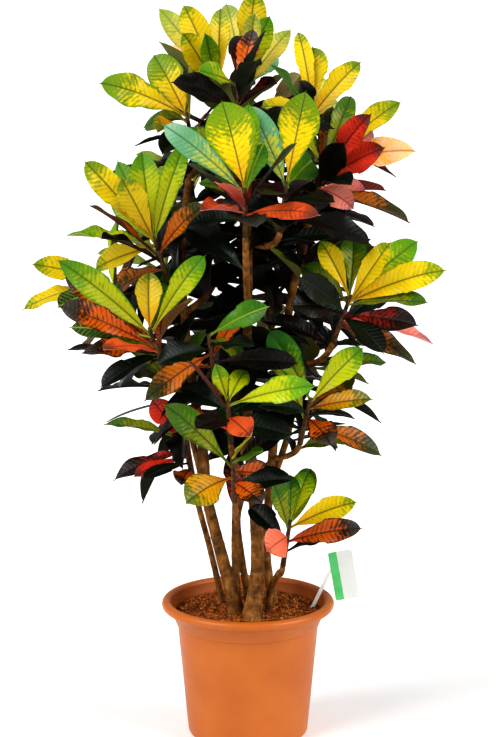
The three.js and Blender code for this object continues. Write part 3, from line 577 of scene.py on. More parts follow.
def stem(course, sides, seed, flare=0.0, ridges=0.05):
    """A woody stem along a course of [x, y, z, radius]: ridged, ringed by scars and flared at its foot."""
    run = np.concatenate([[0], np.cumsum(np.linalg.norm(np.diff(course[:, :3], axis=0), axis=1))])
    length = run[-1]
    stations = max(3, round(length / STEM_STATION))
    bm = turned_round([(1, i / stations) for i in range(stations + 1)], sides)
    bmesh.ops.holes_fill(bm, edges=bm.edges, sides=0)
    bmesh.ops.recalc_face_normals(bm, faces=bm.faces)
    tube, ring = template(bm)
    draw = draws(seed)
    scars = [between(*SCAR_SPACING, next(draw))]
    while scars[-1] < length:
        scars.append(scars[-1] + between(*SCAR_SPACING, next(draw)))
    far = ring[:, 2] * length
    angle = np.arctan2(ring[:, 1], ring[:, 0])

    def at(distance):
        return np.stack([np.interp(distance, run, course[:, k]) for k in range(4)], 1)

    here = at(far)
    along = unit(at(np.minimum(far + 2, length))[:, :3] - at(np.maximum(far - 2, 0))[:, :3])
    right = unit(np.cross(along, (0.13, 1, 0.07)))
    back = np.cross(along, right)
    near = np.abs(np.array(scars)[None] - (far + SCAR_TILT * np.sin(angle + far / 9))[:, None]).min(1)
    scar = np.exp(-((near / SCAR_WIDTH) ** 2))
    rough = np.array([rough_at(x, y, f, seed) for (x, y, _), f in zip(ring, far)])
    radius = here[:, 3] * (1 + ridges * rough + SCAR_HEIGHT * scar)
    spread = np.exp(-(((here[:, 2] - SOIL_LEVEL) / FLARE_HEIGHT) ** 2))
    radius *= 1 + flare * spread * (1 + 0.35 * np.cos(3 * angle + seed))
    radius *= np.where(far > length - 1, 0.6, 1)
    places = here[:, :3] + radius[:, None] * (right * ring[:, :1] + back * ring[:, 1:2])
    return tube, places, {"scar": np.stack([scar] * 3, 1)}


# Croton bark: thin, corky and dull. Brown in darker and paler patches, streaked along the stem, with faint
# pale pores and a paler, worn edge on each raised scar ring.
bark = new_material("croton bark, grown")
PATCH_MM = 13
STREAK_MM = 2.5
STREAK_STRETCH = (1, 1, 0.18)
PORE_MM = 4.5
bark_place = add(bark, "TexCoord", None, "Object")
bark_patch = add(bark, "TexNoise", {"Scale": 1000 / PATCH_MM, "Detail": 5, "Vector": bark_place})
bark_drawn_out = add(bark, "Mapping", {"Scale": STREAK_STRETCH, "Vector": bark_place})
bark_streak = add(bark, "TexNoise", {"Scale": 1000 / STREAK_MM, "Detail": 4, "Vector": bark_drawn_out})
bark_pore = add(bark, "TexVoronoi", {"Scale": 1000 / PORE_MM, "Vector": bark_place}, "Distance")
bark_scar = add(bark, "Attribute", {"attribute_name": "scar"}, "Fac")
bark_tone = add(bark, "ValToRGB", {
    "stops": [(0.3, "4a2c10"), (0.46, "70481a"), (0.6, "905e26"), (0.78, "ac8048")], "Fac": bark_patch,
})
bark_streaky = add(bark, "MapRange", {"Value": bark_streak, "From Min": 0.4, "From Max": 0.7, "To Max": 0.6})
bark_ground = add(bark, "Mix", {"data_type": "RGBA", 0: bark_streaky, 6: bark_tone, 7: colour("3c210c")}, 2)
bark_pore_mask = add(bark, "MapRange", {
    "Value": bark_pore, "From Min": 0.08, "From Max": 0.26, "To Min": 0.12, "To Max": 0,
})
bark_pored = add(
    bark, "Mix", {"data_type": "RGBA", 0: bark_pore_mask, 6: bark_ground, 7: colour("b59470")}, 2
)
bark_ring = add(bark, "MapRange", {"Value": bark_scar, "From Min": 0.3, "From Max": 0.95, "To Max": 0.36})
bark_worn = add(bark, "Math", {"operation": "MULTIPLY", 0: bark_ring, 1: bark_streak})
bark_ringed = add(bark, "Mix", {"data_type": "RGBA", 0: bark_worn, 6: bark_pored, 7: colour("a98157")}, 2)
bark_bump = add(bark, "Bump", {"Strength": 0.6, "Distance": 0.0007, "Height": bark_streak})
bark_shader = add(bark, "BsdfPrincipled", {
    "Base Color": bark_ringed, "Normal": bark_bump, "Roughness": 0.72, "Specular IOR Level": 0.15,
})
add(bark, "OutputMaterial", {"Surface": bark_shader})

for number, (trunk_name, points) in enumerate(TRUNKS.items()):
    foot = [*points[0][:2], SOIL_LEVEL - PLANTING_DEPTH, points[0][3]]
    course = smooth_course([foot, *points], 8)
    wood = [stem(course, TRUNK_SIDES, number * 11 + 3, TRUNK_FLARE, TRUNK_RIDGES)]
    for head, (trunk, fork, tip, _) in HEADS.items():
        if trunk != trunk_name:
            continue
        way = np.linspace(0, 1, BRANCH_STEPS)[:, None]
        bend = bent_line(*branch_bend(trunk, fork, tip), way)
        thick = np.linspace(min(BRANCH_RADIUS + 1, points[fork][3]), BRANCH_RADIUS, BRANCH_STEPS)[:, None]
        wood.append(stem(np.hstack([bend, thick]), BRANCH_SIDES, number * 31 + 7 * len(wood)))
    trunk_piece = assembled(trunk_name + "_wood", wood, [bark])
    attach(trunk_piece, "root")
    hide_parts(trunk_name)

# The leaves: leathery and glossy, elliptic with a pointed tip, on short stalks round the end of a shoot. They
# open yellow and green, and turn orange, red and near black with age. The hidden ones follow the croton's own
# rule, each turned on by the golden angle. Each is placed by the tip of the same leaf in the CAD node.
NEW_GROWTH = 20
LEAFY_LENGTH = 48
SHOOT_TIP_RADIUS = 2.4
SHOOT_GAP = 0.3
NEW_COLOURS = ["gold", "crest", "pale", "cream", "lime", "jade", "fern", "green", "forest", "olive"]
GOLDEN_ANGLE = 137.5
LEAVES_BEHIND_A_FRONT_HEAD = 7
LEAVES_OF_A_BACK_HEAD = 12
LEAVES_IN_THE_HEART = 10
HIDDEN_TURN_SCATTER = 40
HIDDEN_SPREAD_SCATTER = 10
HIDDEN_LENGTH_SCATTER = (0.9, 1.1)
BACK_SPREAD = (30, 112)
HEART_SPREAD = (60, 135)
BACK_LENGTH = (90, 130)
HEART_LENGTH = (110, 130)
YOUNG_BEHIND = 0.3
OLD_BEHIND = -0.2
BARE_BELOW = 480
YOUNG_SHARE = 0.4
FEW_LEAVES = 3
OUTWARD_LOOK = 0.8
BEND_STEP = 13
EFFORT_UP = 1.6
EFFORT_RIGHT = 2.2
SAME_PLACE = 0.05
PETIOLE_SHARE = 0.05
PETIOLE_RADIUS = 1.8
ROOT_OFFSET = 0.8
BLADE_END = 0.97
LEAF_ARCH = (0.06, 0.14)
LEAF_SLIMNESS = (0.32, 0.38)
TWIST = (-9, 9)
WIDEST_AT = (0.52, 0.66)
SHOULDER = (0.62, 1.05)
BLUNTING = 0.25
NARROWING = 0.8
FOLD = (0.2, 0.6)
DROOP = (0.02, 0.16)
WAVES = (1.6, 3.2)
WAVE_HEIGHT = (1, 4)
QUILT_HEIGHT = 0.6
RIB_SINK = 0.45
RIB_SPREAD = 1.6
LEAF_SHADES = (0.84, 1.12)
FULL_LENGTH = 120
BROAD_KINDS = {"crest": 0.6, "salmon": 0.25}
CUSP_SHARE = 0.1
CUSP_HALF_WIDTH = 2.2
BLADE_THICKNESS = 0.8
RIB_THICKNESS = 1.9
LEAF_SQUARES = (10, 36)
INNER_LEAF_SQUARES = (6, 18)
COLUMNS = (0, 0.07, 0.3, 0.58, 0.82, 1)
VEIN_SPACING = 7
VEIN_SLANT = 0.55
VEIN_CURVE = 0.008

# Each kind's colours: at the base, over the middle, at the margins, at the tip, along the veins and beneath.
# Then how far the margins' colour reaches in, how strong the veins are, and how marbled the blade is.
LEAF_COLOURS = {
    "gold": ("d69c08", "d8ba08", "829208", "6c880a", "5c600a", "a09a30", 0.24, 0.24, 0.16),
    "crest": ("dba808", "d8bc08", "70880a", "5f820c", "424e0a", "8c8c2c", 0.46, 0.4, 0.16),
    "pale": ("d8b03c", "d9c650", "a0ac48", "8c9c38", "7c8830", "c0b478", 0.3, 0.25, 0.15),
    "cream": ("d8780a", "dc9a34", "e4b884", "e4c080", "b4602a", "d4a070", 0.42, 0.3, 0.3),
    "lime": ("b2ac0a", "acb20c", "64900c", "4c8212", "466410", "8a9a38", 0.38, 0.24, 0.18),
    "jade": ("b4b028", "b4b430", "5e9468", "86ac8c", "2e6440", "6f9468", 0.5, 0.4, 0.44),
    "fern": ("b8b40c", "84a010", "2c6c10", "1c5812", "345c10", "6c8a30", 0.5, 0.5, 0.42),
    "green": ("4f8010", "42780c", "245e0c", "245e14", "869a20", "507a30", 0.4, 0.3, 0.25),
    "forest": ("6a8a1c", "2a5a20", "16401c", "1c4424", "a8b03c", "4c7030", 0.45, 0.75, 0.3),
    "olive": ("7c800c", "7c820e", "3a600c", "44601c", "2a440a", "5c6028", 0.42, 0.4, 0.35),
    "honey": ("c47008", "c88c08", "5c6a0c", "66701c", "34300a", "7c5c24", 0.36, 0.6, 0.3),
    "amber": ("b85408", "ba640a", "34360a", "40461c", "241c08", "604020", 0.46, 0.8, 0.34),
    "ember": ("cc500a", "cc5c0c", "2a1c0a", "46403c", "1a0e06", "542a20", 0.38, 0.85, 0.36),
    "ruby": ("e05038", "dc3822", "a82418", "543a34", "6a1410", "7c3028", 0.2, 0.4, 0.15),
    "wine": ("b02008", "7a1c0e", "120b08", "201a16", "1e0c08", "2c1612", 0.5, 0.7, 0.5),
    "plum": ("1e1008", "130c07", "0b0a06", "10100c", "1e120a", "261812", 0.5, 0.2, 0.3),
    # The next kind is a near-black leaf painted greyer: a painted reflection, the sheen of its glossy face.
    "slate": ("1c1a16", "1e1e1a", "20261f", "30342f", "3a302a", "2e2a26", 0.5, 0.3, 0.3),
    "dusk": ("121e0a", "0c160a", "080f09", "0b120c", "18260e", "20261a", 0.5, 0.25, 0.3),
    "pink": ("ec7c66", "ee8e7c", "d8706a", "9c6460", "a04840", "c47c76", 0.26, 0.4, 0.15),
    "salmon": ("e06848", "e47454", "d05c40", "b84c34", "98402c", "b8604c", 0.2, 0.5, 0.1),
    "coral": ("d04818", "d45a28", "b04020", "4c3428", "6a2414", "a85040", 0.28, 0.7, 0.24),
}
DUSKY_SHARE = 0.55
YOUNG_AWAY = ("gold", "lime", "crest", "lime", "olive", "green", "pale", "gold")
OLD_AWAY = ("plum", "wine", "ember", "dusk", "ruby", "dusk", "plum", "amber")
OLD_IN_THE_HEART = ("dusk", "plum", "dusk", "wine", "plum", "dusk")
INNER_KINDS = ("plum", "dusk", "plum", "wine", "dusk", "plum", "dusk", "olive", "dusk", "olive", "plum")
INNER_LEAVES = 9
INNER_REACH = 195
INNER_FRONT = -70
INNER_LOWEST = 420
INNER_STRETCH = (1, 0.4)
INNER_TURN_SCATTER = 60
INNER_SPREAD = (50, 115)
INNER_LENGTH = (85, 125)
INNER_SLIMNESS = (0.32, 0.4)
INNER_ARCH = (0.06, 0.16)


def planned_leaves(name, tip, axis, shown):
    """The leaves of one head: those that show, in their listed order, then the others by the golden angle."""
    seed = list(HEADS).index(name) * 7919 + 17
    draw = draws(seed)
    tint = draws(seed + 5)
    leaves = []
    for right, back, up, width, turn, kind in shown:
        turn = math.radians(turn)
        leaves.append({
            "tip": np.array([tip[0] + right, tip[1] + back, tip[2] + up], float),
            "facing": np.array([0, -math.sin(turn), math.cos(turn)]),
            "width": width,
            "young": kind in NEW_COLOURS,
            "arch": between(*LEAF_ARCH, next(draw)),
            "kind": "dusk" if kind == "plum" and next(tint) < DUSKY_SHARE else kind,
        })
    heart = name.startswith("heart")
    facing = unit(axis + OUTWARD_LOOK * unit([tip[0], tip[1], 0]))
    behind = 0 if tip[2] < BARE_BELOW else LEAVES_BEHIND_A_FRONT_HEAD
    count = behind if shown else LEAVES_IN_THE_HEART if heart else LEAVES_OF_A_BACK_HEAD
    for i in range(count):
        age = (i + 0.5) / count
        turn = math.radians(i * GOLDEN_ANGLE + HIDDEN_TURN_SCATTER * next(draw))
        spread = between(*(HEART_SPREAD if heart else BACK_SPREAD), age) + HIDDEN_SPREAD_SCATTER * next(draw)
        length = between(*(HEART_LENGTH if heart else BACK_LENGTH), age)
        length *= between(*HIDDEN_LENGTH_SCATTER, next(draw))
        width = length * between(*LEAF_SLIMNESS, next(draw))
        arch = between(*LEAF_ARCH, next(draw))
        way = branching(axis, turn, math.radians(spread))
        young = not heart and age < YOUNG_SHARE
        kinds = OLD_IN_THE_HEART if heart else YOUNG_AWAY if young else OLD_AWAY
        kind = kinds[int(next(tint) * len(kinds))]
        if shown and way[1] < (YOUNG_BEHIND if young else OLD_BEHIND):
            continue
        end = np.array(tip) - axis * age * LEAFY_LENGTH + way * length
        leaves.append({
            "tip": end, "facing": facing, "width": width, "young": young, "arch": arch, "kind": kind,
        })
    young_leaves = sum(leaf["young"] for leaf in leaves)
    only_old = young_leaves <= FEW_LEAVES
    only_young = len(leaves) - young_leaves <= FEW_LEAVES
    for leaf in leaves:
        leaf["young"] = not only_old and (leaf["young"] or only_young)
    return leaves


def root_leaves(leaves, tip, axis):
    """Gives each leaf its node on the shoot: the new leaves on its top stretch and the old ones below."""
    mixed = len({leaf["young"] for leaf in leaves}) > 1
    for young in (True, False):
        group = [leaf for leaf in leaves if leaf["young"] == young]
        top = NEW_GROWTH + 5 if mixed and not young else 3
        bottom = NEW_GROWTH - 5 if mixed and young else LEAFY_LENGTH
        for i, leaf in enumerate(group):
            down = between(top, bottom, i / (len(group) - 1) if len(group) > 1 else 0.5)
            leaf["node"] = np.array(tip) - axis * down


def comes_out(end):
    """Whether an inner leaf that ends here would show outside the bush, or hang too low."""
    return math.hypot(*end[:2]) > INNER_REACH or end[1] < INNER_FRONT or end[2] < INNER_LOWEST


def looking_out(end):
    """The way that the face of a leaf ending here looks: up, and away from the bush."""
    return unit(np.array([0, 0, 1]) + OUTWARD_LOOK * unit([*end[:2], 0]))


def inner_leaves(name, trunk, fork, tip):
    """Old leaves that stay on the branch below a head and close the bush: dark, and away from the front."""
    draw = draws(list(HEADS).index(name) * 271 + 7)
    start, knee, end = branch_bend(trunk, fork, tip)
    leaves = []
    for i in range(INNER_LEAVES):
        t = between(*INNER_STRETCH, (i + next(draw)) / INNER_LEAVES)
        axis = unit((1 - t) * (knee - start) + t * (end - knee))
        turn = math.radians(i * GOLDEN_ANGLE + INNER_TURN_SCATTER * next(draw))
        spread = math.radians(between(*INNER_SPREAD, next(draw)))
        length = between(*INNER_LENGTH, next(draw))
        kind = INNER_KINDS[int(next(draw) * len(INNER_KINDS))]
        width = length * between(*INNER_SLIMNESS, next(draw))
        arch = between(*INNER_ARCH, next(draw))
        node = bent_line(start, knee, end, t)
        leaf_tip = node + branching(axis, turn, spread) * length
        if comes_out(leaf_tip):
            continue
        leaves.append({
            "node": node, "axis": axis, "tip": leaf_tip, "facing": looking_out(leaf_tip), "width": width,
            "arch": arch, "kind": kind,
        })
    return leaves


def bends_in_order():
    """How a leaf may give way to its neighbours: in depth most easily, then in height, and sideways last."""
    bends = []
    for back in (0, 1, -1, 2, -2, 3, -3, 4, -4):
        for up in (0, 1, -1, 2, -2):
            for right in (0, 1, -1, 2, -2):
                effort = abs(back) + EFFORT_UP * abs(up) + EFFORT_RIGHT * abs(right)
                bends.append((effort, (right * BEND_STEP, back * BEND_STEP, up * BEND_STEP)))
    bends.sort(key=lambda bend: bend[0])
    return np.array([shift for _, shift in bends], float)


BENDS = bends_in_order()


def leaf_template(squares_across, squares_along):
    """A closed slab, its vertices at (across -1 to 1, along 0 to 1, 0 for the underside or 1 for the top)."""
    bm = bmesh.new()
    bmesh.ops.create_grid(bm, x_segments=squares_across, y_segments=squares_along, size=1)
    raised = bmesh.ops.extrude_face_region(bm, geom=list(bm.faces), use_keep_orig=True)["geom"]
    bmesh.ops.translate(bm, vec=(0, 0, 1), verts=[g for g in raised if isinstance(g, bmesh.types.BMVert)])
    bmesh.ops.recalc_face_normals(bm, faces=bm.faces)
    for edge in bm.edges:
        edge.smooth = abs(edge.link_faces[0].normal.z - edge.link_faces[1].normal.z) < 0.5
    steps = np.linspace(0, 1, len(COLUMNS))
    flat_map = bm.loops.layers.uv.new("OFBake")
    for face in bm.faces:
        face.material_index = 0 if face.normal.z > 0.5 else 1
    for vert in bm.verts:
        across = math.copysign(np.interp(abs(vert.co.x), steps, COLUMNS), vert.co.x)
        vert.co = (across, (vert.co.y + 1) / 2, vert.co.z)
    for face in bm.faces:
        for corner in face.loops:
            place = corner.vert.co
            corner[flat_map].uv = (0.25 + 0.23 * place.x + 0.5 * face.material_index, 0.02 + 0.96 * place.y)
    return template(bm)


def eased(low, high, value):
    """0 below low, 1 above high, and a smooth rise between."""
    share = np.clip((value - low) / (high - low), 0, 1)
    return share * share * (3 - 2 * share)


def leaf_surface(leaf, grid, draw, calm=1):
    """Places of a leaf's vertices in millimetres, and (across, along, leaf's own number) for its patterns.
    A calm of less than 1 takes that share of its twist, fold, droop and waves."""
    s, t, top = grid[:, 0], grid[:, 1], grid[:, 2]
    axis, tip = leaf["axis"], leaf["tip"]
    reach = tip - leaf["node"]
    root = leaf["node"] + ROOT_OFFSET * unit(reach - axis * (reach @ axis))
    length = np.linalg.norm(tip - root)
    knee = (root + tip) / 2 + axis * leaf["arch"] * length
    way = t[:, None]
    centre = bent_line(root, knee, tip, way)
    along = (1 - way) * (knee - root) + way * (tip - knee)
    right = unit(np.cross(leaf["facing"], along))
    above = unit(np.cross(along, right))
    twist = math.radians(between(*TWIST, next(draw))) * way * calm
    turned = right * np.cos(twist) + above * np.sin(twist)
    above = above * np.cos(twist) - right * np.sin(twist)
    right = turned

    share = np.clip((t - PETIOLE_SHARE) / (1 - PETIOLE_SHARE), 0, 1)
    widest_at = between(*WIDEST_AT, next(draw))
    blunt = next(draw) if leaf["kind"] in BROAD_KINDS else 0
    shoulder = between(*SHOULDER, next(draw)) - BLUNTING * blunt
    wedge = shoulder * widest_at / (1 - widest_at)
    inner = np.minimum(share / BLADE_END, 1)
    outline = inner**wedge * (1 - inner) ** shoulder / (widest_at**wedge * (1 - widest_at) ** shoulder)
    cusp = CUSP_HALF_WIDTH * np.clip((1 - share) / CUSP_SHARE, 0, 1) * (share > 0.5)
    half = leaf["width"] / 2 * outline * (1 if leaf["kind"] in BROAD_KINDS else NARROWING) + cusp
    half = np.maximum(half, np.where(t < 0.4, PETIOLE_RADIUS, 0.3))

    blade = eased(0.03, 0.12, t)
    flatness = BROAD_KINDS.get(leaf["kind"], 1)
    fold = between(*FOLD, next(draw)) * flatness * calm
    droop = between(*DROOP, next(draw)) * calm
    waves = between(*WAVES, next(draw)) * length / FULL_LENGTH
    wave_height = between(*WAVE_HEIGHT, next(draw)) * length / FULL_LENGTH * min(1, flatness + 0.2) * calm
    phase = 2 * math.pi * next(draw)
    number = next(draw)
    swell = np.sin(math.pi * share) ** 0.7
    lift = half * (fold * np.abs(s) - droop * s**2)
    lift += wave_height * swell * s**2 * np.sin(2 * math.pi * waves * share + phase + 1.3 * np.sign(s))
    vein_way = (t * length - VEIN_SLANT * np.abs(s) * half - VEIN_CURVE * (s * half) ** 2) / VEIN_SPACING
    lift += QUILT_HEIGHT * swell * 4 * np.abs(s) * (1 - np.abs(s)) * np.cos(2 * math.pi * vein_way)
    rib = np.exp(-((s * half / RIB_SPREAD) ** 2))
    lift -= RIB_SINK * rib * swell
    thick = BLADE_THICKNESS + rib * RIB_THICKNESS * (1 - 0.8 * share)
    round_top = PETIOLE_RADIUS * 0.8 * np.sqrt(np.clip(1 - s**2, 0, 1)) + 0.05
    height_above = blade * (lift + 0.5) + (1 - blade) * round_top
    height_below = blade * (lift + 0.5 - thick) - (1 - blade) * round_top
    height = np.where(top > 0.5, height_above, height_below)
    places = centre - right * (s * half)[:, None] + above * height[:, None]
    pattern = np.stack([s * half, t * length, np.full_like(s, number)], 1)
    shape = np.stack([np.abs(s), share, np.zeros_like(s)], 1)
    return places, pattern, shape


def leaf_tones(kind, shape, draw):
    """A leaf's colours at each of its vertices, by how far along the blade they are."""
    *codes, reach_in, strength, marbled = LEAF_COLOURS[kind]
    light = between(*LEAF_SHADES, next(draw))
    tones = [np.array(colour(code)) * (light, light, light, 1) for code in codes]
    base, middle, margin, end, vein, underside = tones
    share = shape[:, 1:2]
    to_middle = eased(0.05, 0.45, share)
    to_end = eased(0.72, 0.95, share)
    numbers = (reach_in + between(-0.08, 0.08, next(draw)), strength, marbled)
    return {
        "field": base + (middle - base) * to_middle,
        "margin": margin + (end - margin) * to_end,
        "vein": np.tile(vein, (len(shape), 1)),
        "underside": np.tile(underside, (len(shape), 1)),
        "growth": np.tile(numbers, (len(shape), 1)),
    }


# A croton leaf's upper face: a tough, waxy cuticle, smooth and glossy, over a blade whose colour changes
# between its veins and in marbled patches. The midrib and side veins lie a little sunk.
leaf_top = new_material("croton leaf, upper face with waxy cuticle")
BLOTCH_MM = 9
SPECKLE_MM = 2.2
PUCKER_MM = 6
NET_MM = 3.4
WANDER_MM = 11
WANDER_DEPTH = 5
VEIN_WIDTH = (0.35, 1.25)
RIB_WIDTH = (0.5, 1.7)
LEAVES_APART = 400


def vein_pattern(surface):
    """The nodes that a leaf's two faces share: places on its blade in millimetres, and masks of its veins."""
    place = add(surface, "Attribute", {"attribute_name": "pattern"}, "Vector")
    side, along, _ = add(surface, "SeparateXYZ", {"Vector": place}).node.outputs
    across = add(surface, "Math", {"operation": "ABSOLUTE", 0: side})
    apart = add(surface, "VectorMath", {"operation": "MULTIPLY", 0: place, 1: (1, 1, LEAVES_APART)})
    wander = add(surface, "TexNoise", {"Scale": 1 / WANDER_MM, "Detail": 1, "Vector": apart})
    squared = add(surface, "Math", {"operation": "MULTIPLY", 0: across, 1: across})
    curved = add(surface, "Math", {"operation": "MULTIPLY_ADD", 0: squared, 1: -VEIN_CURVE, 2: along})
    slanted = add(surface, "Math", {"operation": "MULTIPLY_ADD", 0: across, 1: -VEIN_SLANT, 2: curved})
    bent = add(surface, "Math", {"operation": "MULTIPLY_ADD", 0: wander, 1: WANDER_DEPTH, 2: slanted})
    spaced = add(surface, "Math", {"operation": "DIVIDE", 0: bent, 1: VEIN_SPACING})
    part = add(surface, "Math", {"operation": "FRACT", 0: spaced})
    offset = add(surface, "Math", {"operation": "SUBTRACT", 0: part, 1: 0.5})
    off_vein = add(surface, "Math", {"operation": "ABSOLUTE", 0: offset})
    side_vein = add(surface, "MapRange", {
        "interpolation_type": "SMOOTHSTEP", "Value": off_vein, "From Min": VEIN_WIDTH[0] / VEIN_SPACING,
        "From Max": VEIN_WIDTH[1] / VEIN_SPACING, "To Min": 0.8, "To Max": 0,
    })
    midrib = add(surface, "MapRange", {
        "interpolation_type": "SMOOTHSTEP", "Value": across, "From Min": RIB_WIDTH[0],
        "From Max": RIB_WIDTH[1], "To Min": 1, "To Max": 0,
    })
    net = add(surface, "TexVoronoi", {
        "feature": "DISTANCE_TO_EDGE", "Scale": 1 / NET_MM, "Vector": apart,
    }, "Distance")
    net_vein = add(surface, "MapRange", {
        "Value": net, "From Min": 0.02, "From Max": 0.12, "To Min": 0.4, "To Max": 0,
    })
    fine_veins = add(surface, "Math", {"operation": "MAXIMUM", 0: side_vein, 1: net_vein})
    veins = add(surface, "Math", {"operation": "MAXIMUM", 0: side_vein, 1: midrib})
    return apart, off_vein, veins, fine_veins, midrib


apart, off_vein, veins, fine_veins, midrib = vein_pattern(leaf_top)
field = add(leaf_top, "Attribute", {"attribute_name": "field"}, "Color")
margin = add(leaf_top, "Attribute", {"attribute_name": "margin"}, "Color")
vein = add(leaf_top, "Attribute", {"attribute_name": "vein"}, "Color")
growth = add(leaf_top, "Attribute", {"attribute_name": "growth"}, "Vector")
reach_in, strength, marbled = add(leaf_top, "SeparateXYZ", {"Vector": growth}).node.outputs
shape = add(leaf_top, "Attribute", {"attribute_name": "shape"}, "Vector")
side_share, tip_share, _ = add(leaf_top, "SeparateXYZ", {"Vector": shape}).node.outputs
blotch = add(leaf_top, "TexNoise", {"Scale": 1 / BLOTCH_MM, "Detail": 5, "Roughness": 0.65, "Vector": apart})
speckle = add(leaf_top, "TexNoise", {"Scale": 1 / SPECKLE_MM, "Detail": 2, "Vector": apart})
pucker = add(leaf_top, "TexNoise", {"Scale": 1 / PUCKER_MM, "Detail": 2, "Vector": apart})
side_steep = add(leaf_top, "Math", {"operation": "POWER", 0: side_share, 1: 2.2})
side_reach = add(leaf_top, "Math", {"operation": "MULTIPLY", 0: side_steep, 1: 0.75})
tip_reach = add(leaf_top, "Math", {"operation": "POWER", 0: tip_share, 1: 1.3})
outer = add(leaf_top, "Math", {"operation": "MAXIMUM", 0: side_reach, 1: tip_reach})
ragged = add(leaf_top, "Math", {"operation": "MULTIPLY_ADD", 0: blotch, 1: 0.9, 2: -0.45})
dotted = add(leaf_top, "Math", {"operation": "MULTIPLY_ADD", 0: speckle, 1: 0.3, 2: -0.15})
uneven_dots = add(leaf_top, "Math", {"operation": "ADD", 0: ragged, 1: dotted})
vein_pull = add(leaf_top, "MapRange", {"Value": off_vein, "From Max": 0.5, "To Min": 0.08, "To Max": -0.05})
unevenness = add(leaf_top, "Math", {"operation": "ADD", 0: uneven_dots, 1: vein_pull})
outer_uneven = add(leaf_top, "Math", {"operation": "ADD", 0: outer, 1: unevenness})
with_margin = add(leaf_top, "Math", {"operation": "ADD", 0: outer_uneven, 1: reach_in})
margin_mask = add(leaf_top, "MapRange", {
    "interpolation_type": "SMOOTHSTEP", "Value": with_margin, "From Min": 0.82, "From Max": 1.12,
})
with_marble = add(leaf_top, "Math", {"operation": "ADD", 0: unevenness, 1: marbled})
marble_mask = add(leaf_top, "MapRange", {
    "interpolation_type": "SMOOTHSTEP", "Value": with_marble, "From Min": 0.42, "From Max": 0.62,
    "To Max": 0.85,
})
patches = add(leaf_top, "Math", {"operation": "MAXIMUM", 0: margin_mask, 1: marble_mask})
patched = add(leaf_top, "Mix", {"data_type": "RGBA", 0: patches, 6: field, 7: margin}, 2)
broken = add(leaf_top, "MapRange", {"Value": blotch, "From Min": 0.35, "From Max": 0.62, "To Min": 0.35})
fine_share = add(leaf_top, "Math", {"operation": "MULTIPLY", 0: fine_veins, 1: strength})
fine_strength = add(leaf_top, "Math", {"operation": "MULTIPLY", 0: fine_share, 1: broken})
rib_strength = add(leaf_top, "Math", {"operation": "MULTIPLY", 0: midrib, 1: 0.8})
vein_strength = add(leaf_top, "Math", {"operation": "MAXIMUM", 0: fine_strength, 1: rib_strength})
veined = add(leaf_top, "Mix", {"data_type": "RGBA", 0: vein_strength, 6: patched, 7: vein}, 2)
top_dullness = add(leaf_top, "MapRange", {
    "Value": blotch, "From Min": 0.3, "From Max": 0.7, "To Min": 0.26, "To Max": 0.4,
})
top_relief = add(leaf_top, "Math", {"operation": "SUBTRACT", 0: pucker, 1: veins})
top_bump = add(leaf_top, "Bump", {"Strength": 0.6, "Distance": 0.0006, "Height": top_relief})
top_shader = add(leaf_top, "BsdfPrincipled", {
    "Base Color": veined, "Roughness": top_dullness, "Normal": top_bump, "IOR": 1.45,
    "Specular IOR Level": 0.19,
})
add(leaf_top, "OutputMaterial", {"Surface": top_shader})

# Its underside: a thinner cuticle with little gloss, softer in colour, with paler veins that stand proud.
leaf_under = new_material("croton leaf, matt underside")
proud_veins = vein_pattern(leaf_under)[2]
underside = add(leaf_under, "Attribute", {"attribute_name": "underside"}, "Color")
paler = add(leaf_under, "HueSaturation", {"Value": 1.35, "Saturation": 0.8, "Color": underside})
vein_share = add(leaf_under, "Math", {"operation": "MULTIPLY", 0: proud_veins, 1: 0.6})
under_tone = add(leaf_under, "Mix", {"data_type": "RGBA", 0: vein_share, 6: underside, 7: paler}, 2)
under_bump = add(leaf_under, "Bump", {"Strength": 0.5, "Distance": 0.0006, "Height": proud_veins})
under_shader = add(leaf_under, "BsdfPrincipled", {
    "Base Color": under_tone, "Normal": under_bump, "IOR": 1.4, "Roughness": 0.55, "Specular IOR Level": 0.12,
})
add(leaf_under, "OutputMaterial", {"Surface": under_shader})

# The young shoot's skin: smooth, brown and faintly mottled, with a dull gloss.
shoot_skin = new_material("young croton shoot, smooth skin")
SHOOT_MOTTLE_MM = 5
shoot_place = add(shoot_skin, "TexCoord", None, "Object")
shoot_mottle = add(
    shoot_skin, "TexNoise", {"Scale": 1000 / SHOOT_MOTTLE_MM, "Detail": 3, "Vector": shoot_place}
)
shoot_tone = add(shoot_skin, "ValToRGB", {"stops": [(0.35, "2e2210"), (0.65, "5a3c1e")], "Fac": shoot_mottle})
shoot_shader = add(
    shoot_skin, "BsdfPrincipled", {"Base Color": shoot_tone, "Roughness": 0.5, "Specular IOR Level": 0.15}
)
add(shoot_skin, "OutputMaterial", {"Surface": shoot_shader})

leaf_mesh, grid = leaf_template(*LEAF_SQUARES)
inner_leaf_mesh, inner_grid = leaf_template(*INNER_LEAF_SQUARES)
LOOK_NUMBERS = 11
FREE_OF_SHOOT = 0.3
CALMER = (0.6, 0.3, 0)
INNER_TURNS = (0, 25, -25, 50, -50, 75, -75, 100, -100, 140, 180)
INNER_SHARES = ((1, 1), (0.6, 0.85), (0.4, 0.7))


def node_of(head, young):
    """The CAD node that holds a head's young or old leaves."""
    return head + ("_new" if young else "_old")


def leaf_to_grow(node_name, leaf, mesh, grid, faces, draw):
    """What a leaf grows from: its plan, its template, and its own numbers out of a stream."""
    numbers = [next(draw) for _ in range(LOOK_NUMBERS + (leaf["kind"] in BROAD_KINDS))]
    return {"node": node_name, "from": (leaf, mesh, grid, faces, numbers)}


def blade_faces(mesh, grid):
    """The faces of a leaf's template beyond the stretch where it meets its shoot."""
    return [list(p.vertices) for p in mesh.polygons if grid[list(p.vertices), 1].min() > FREE_OF_SHOOT]


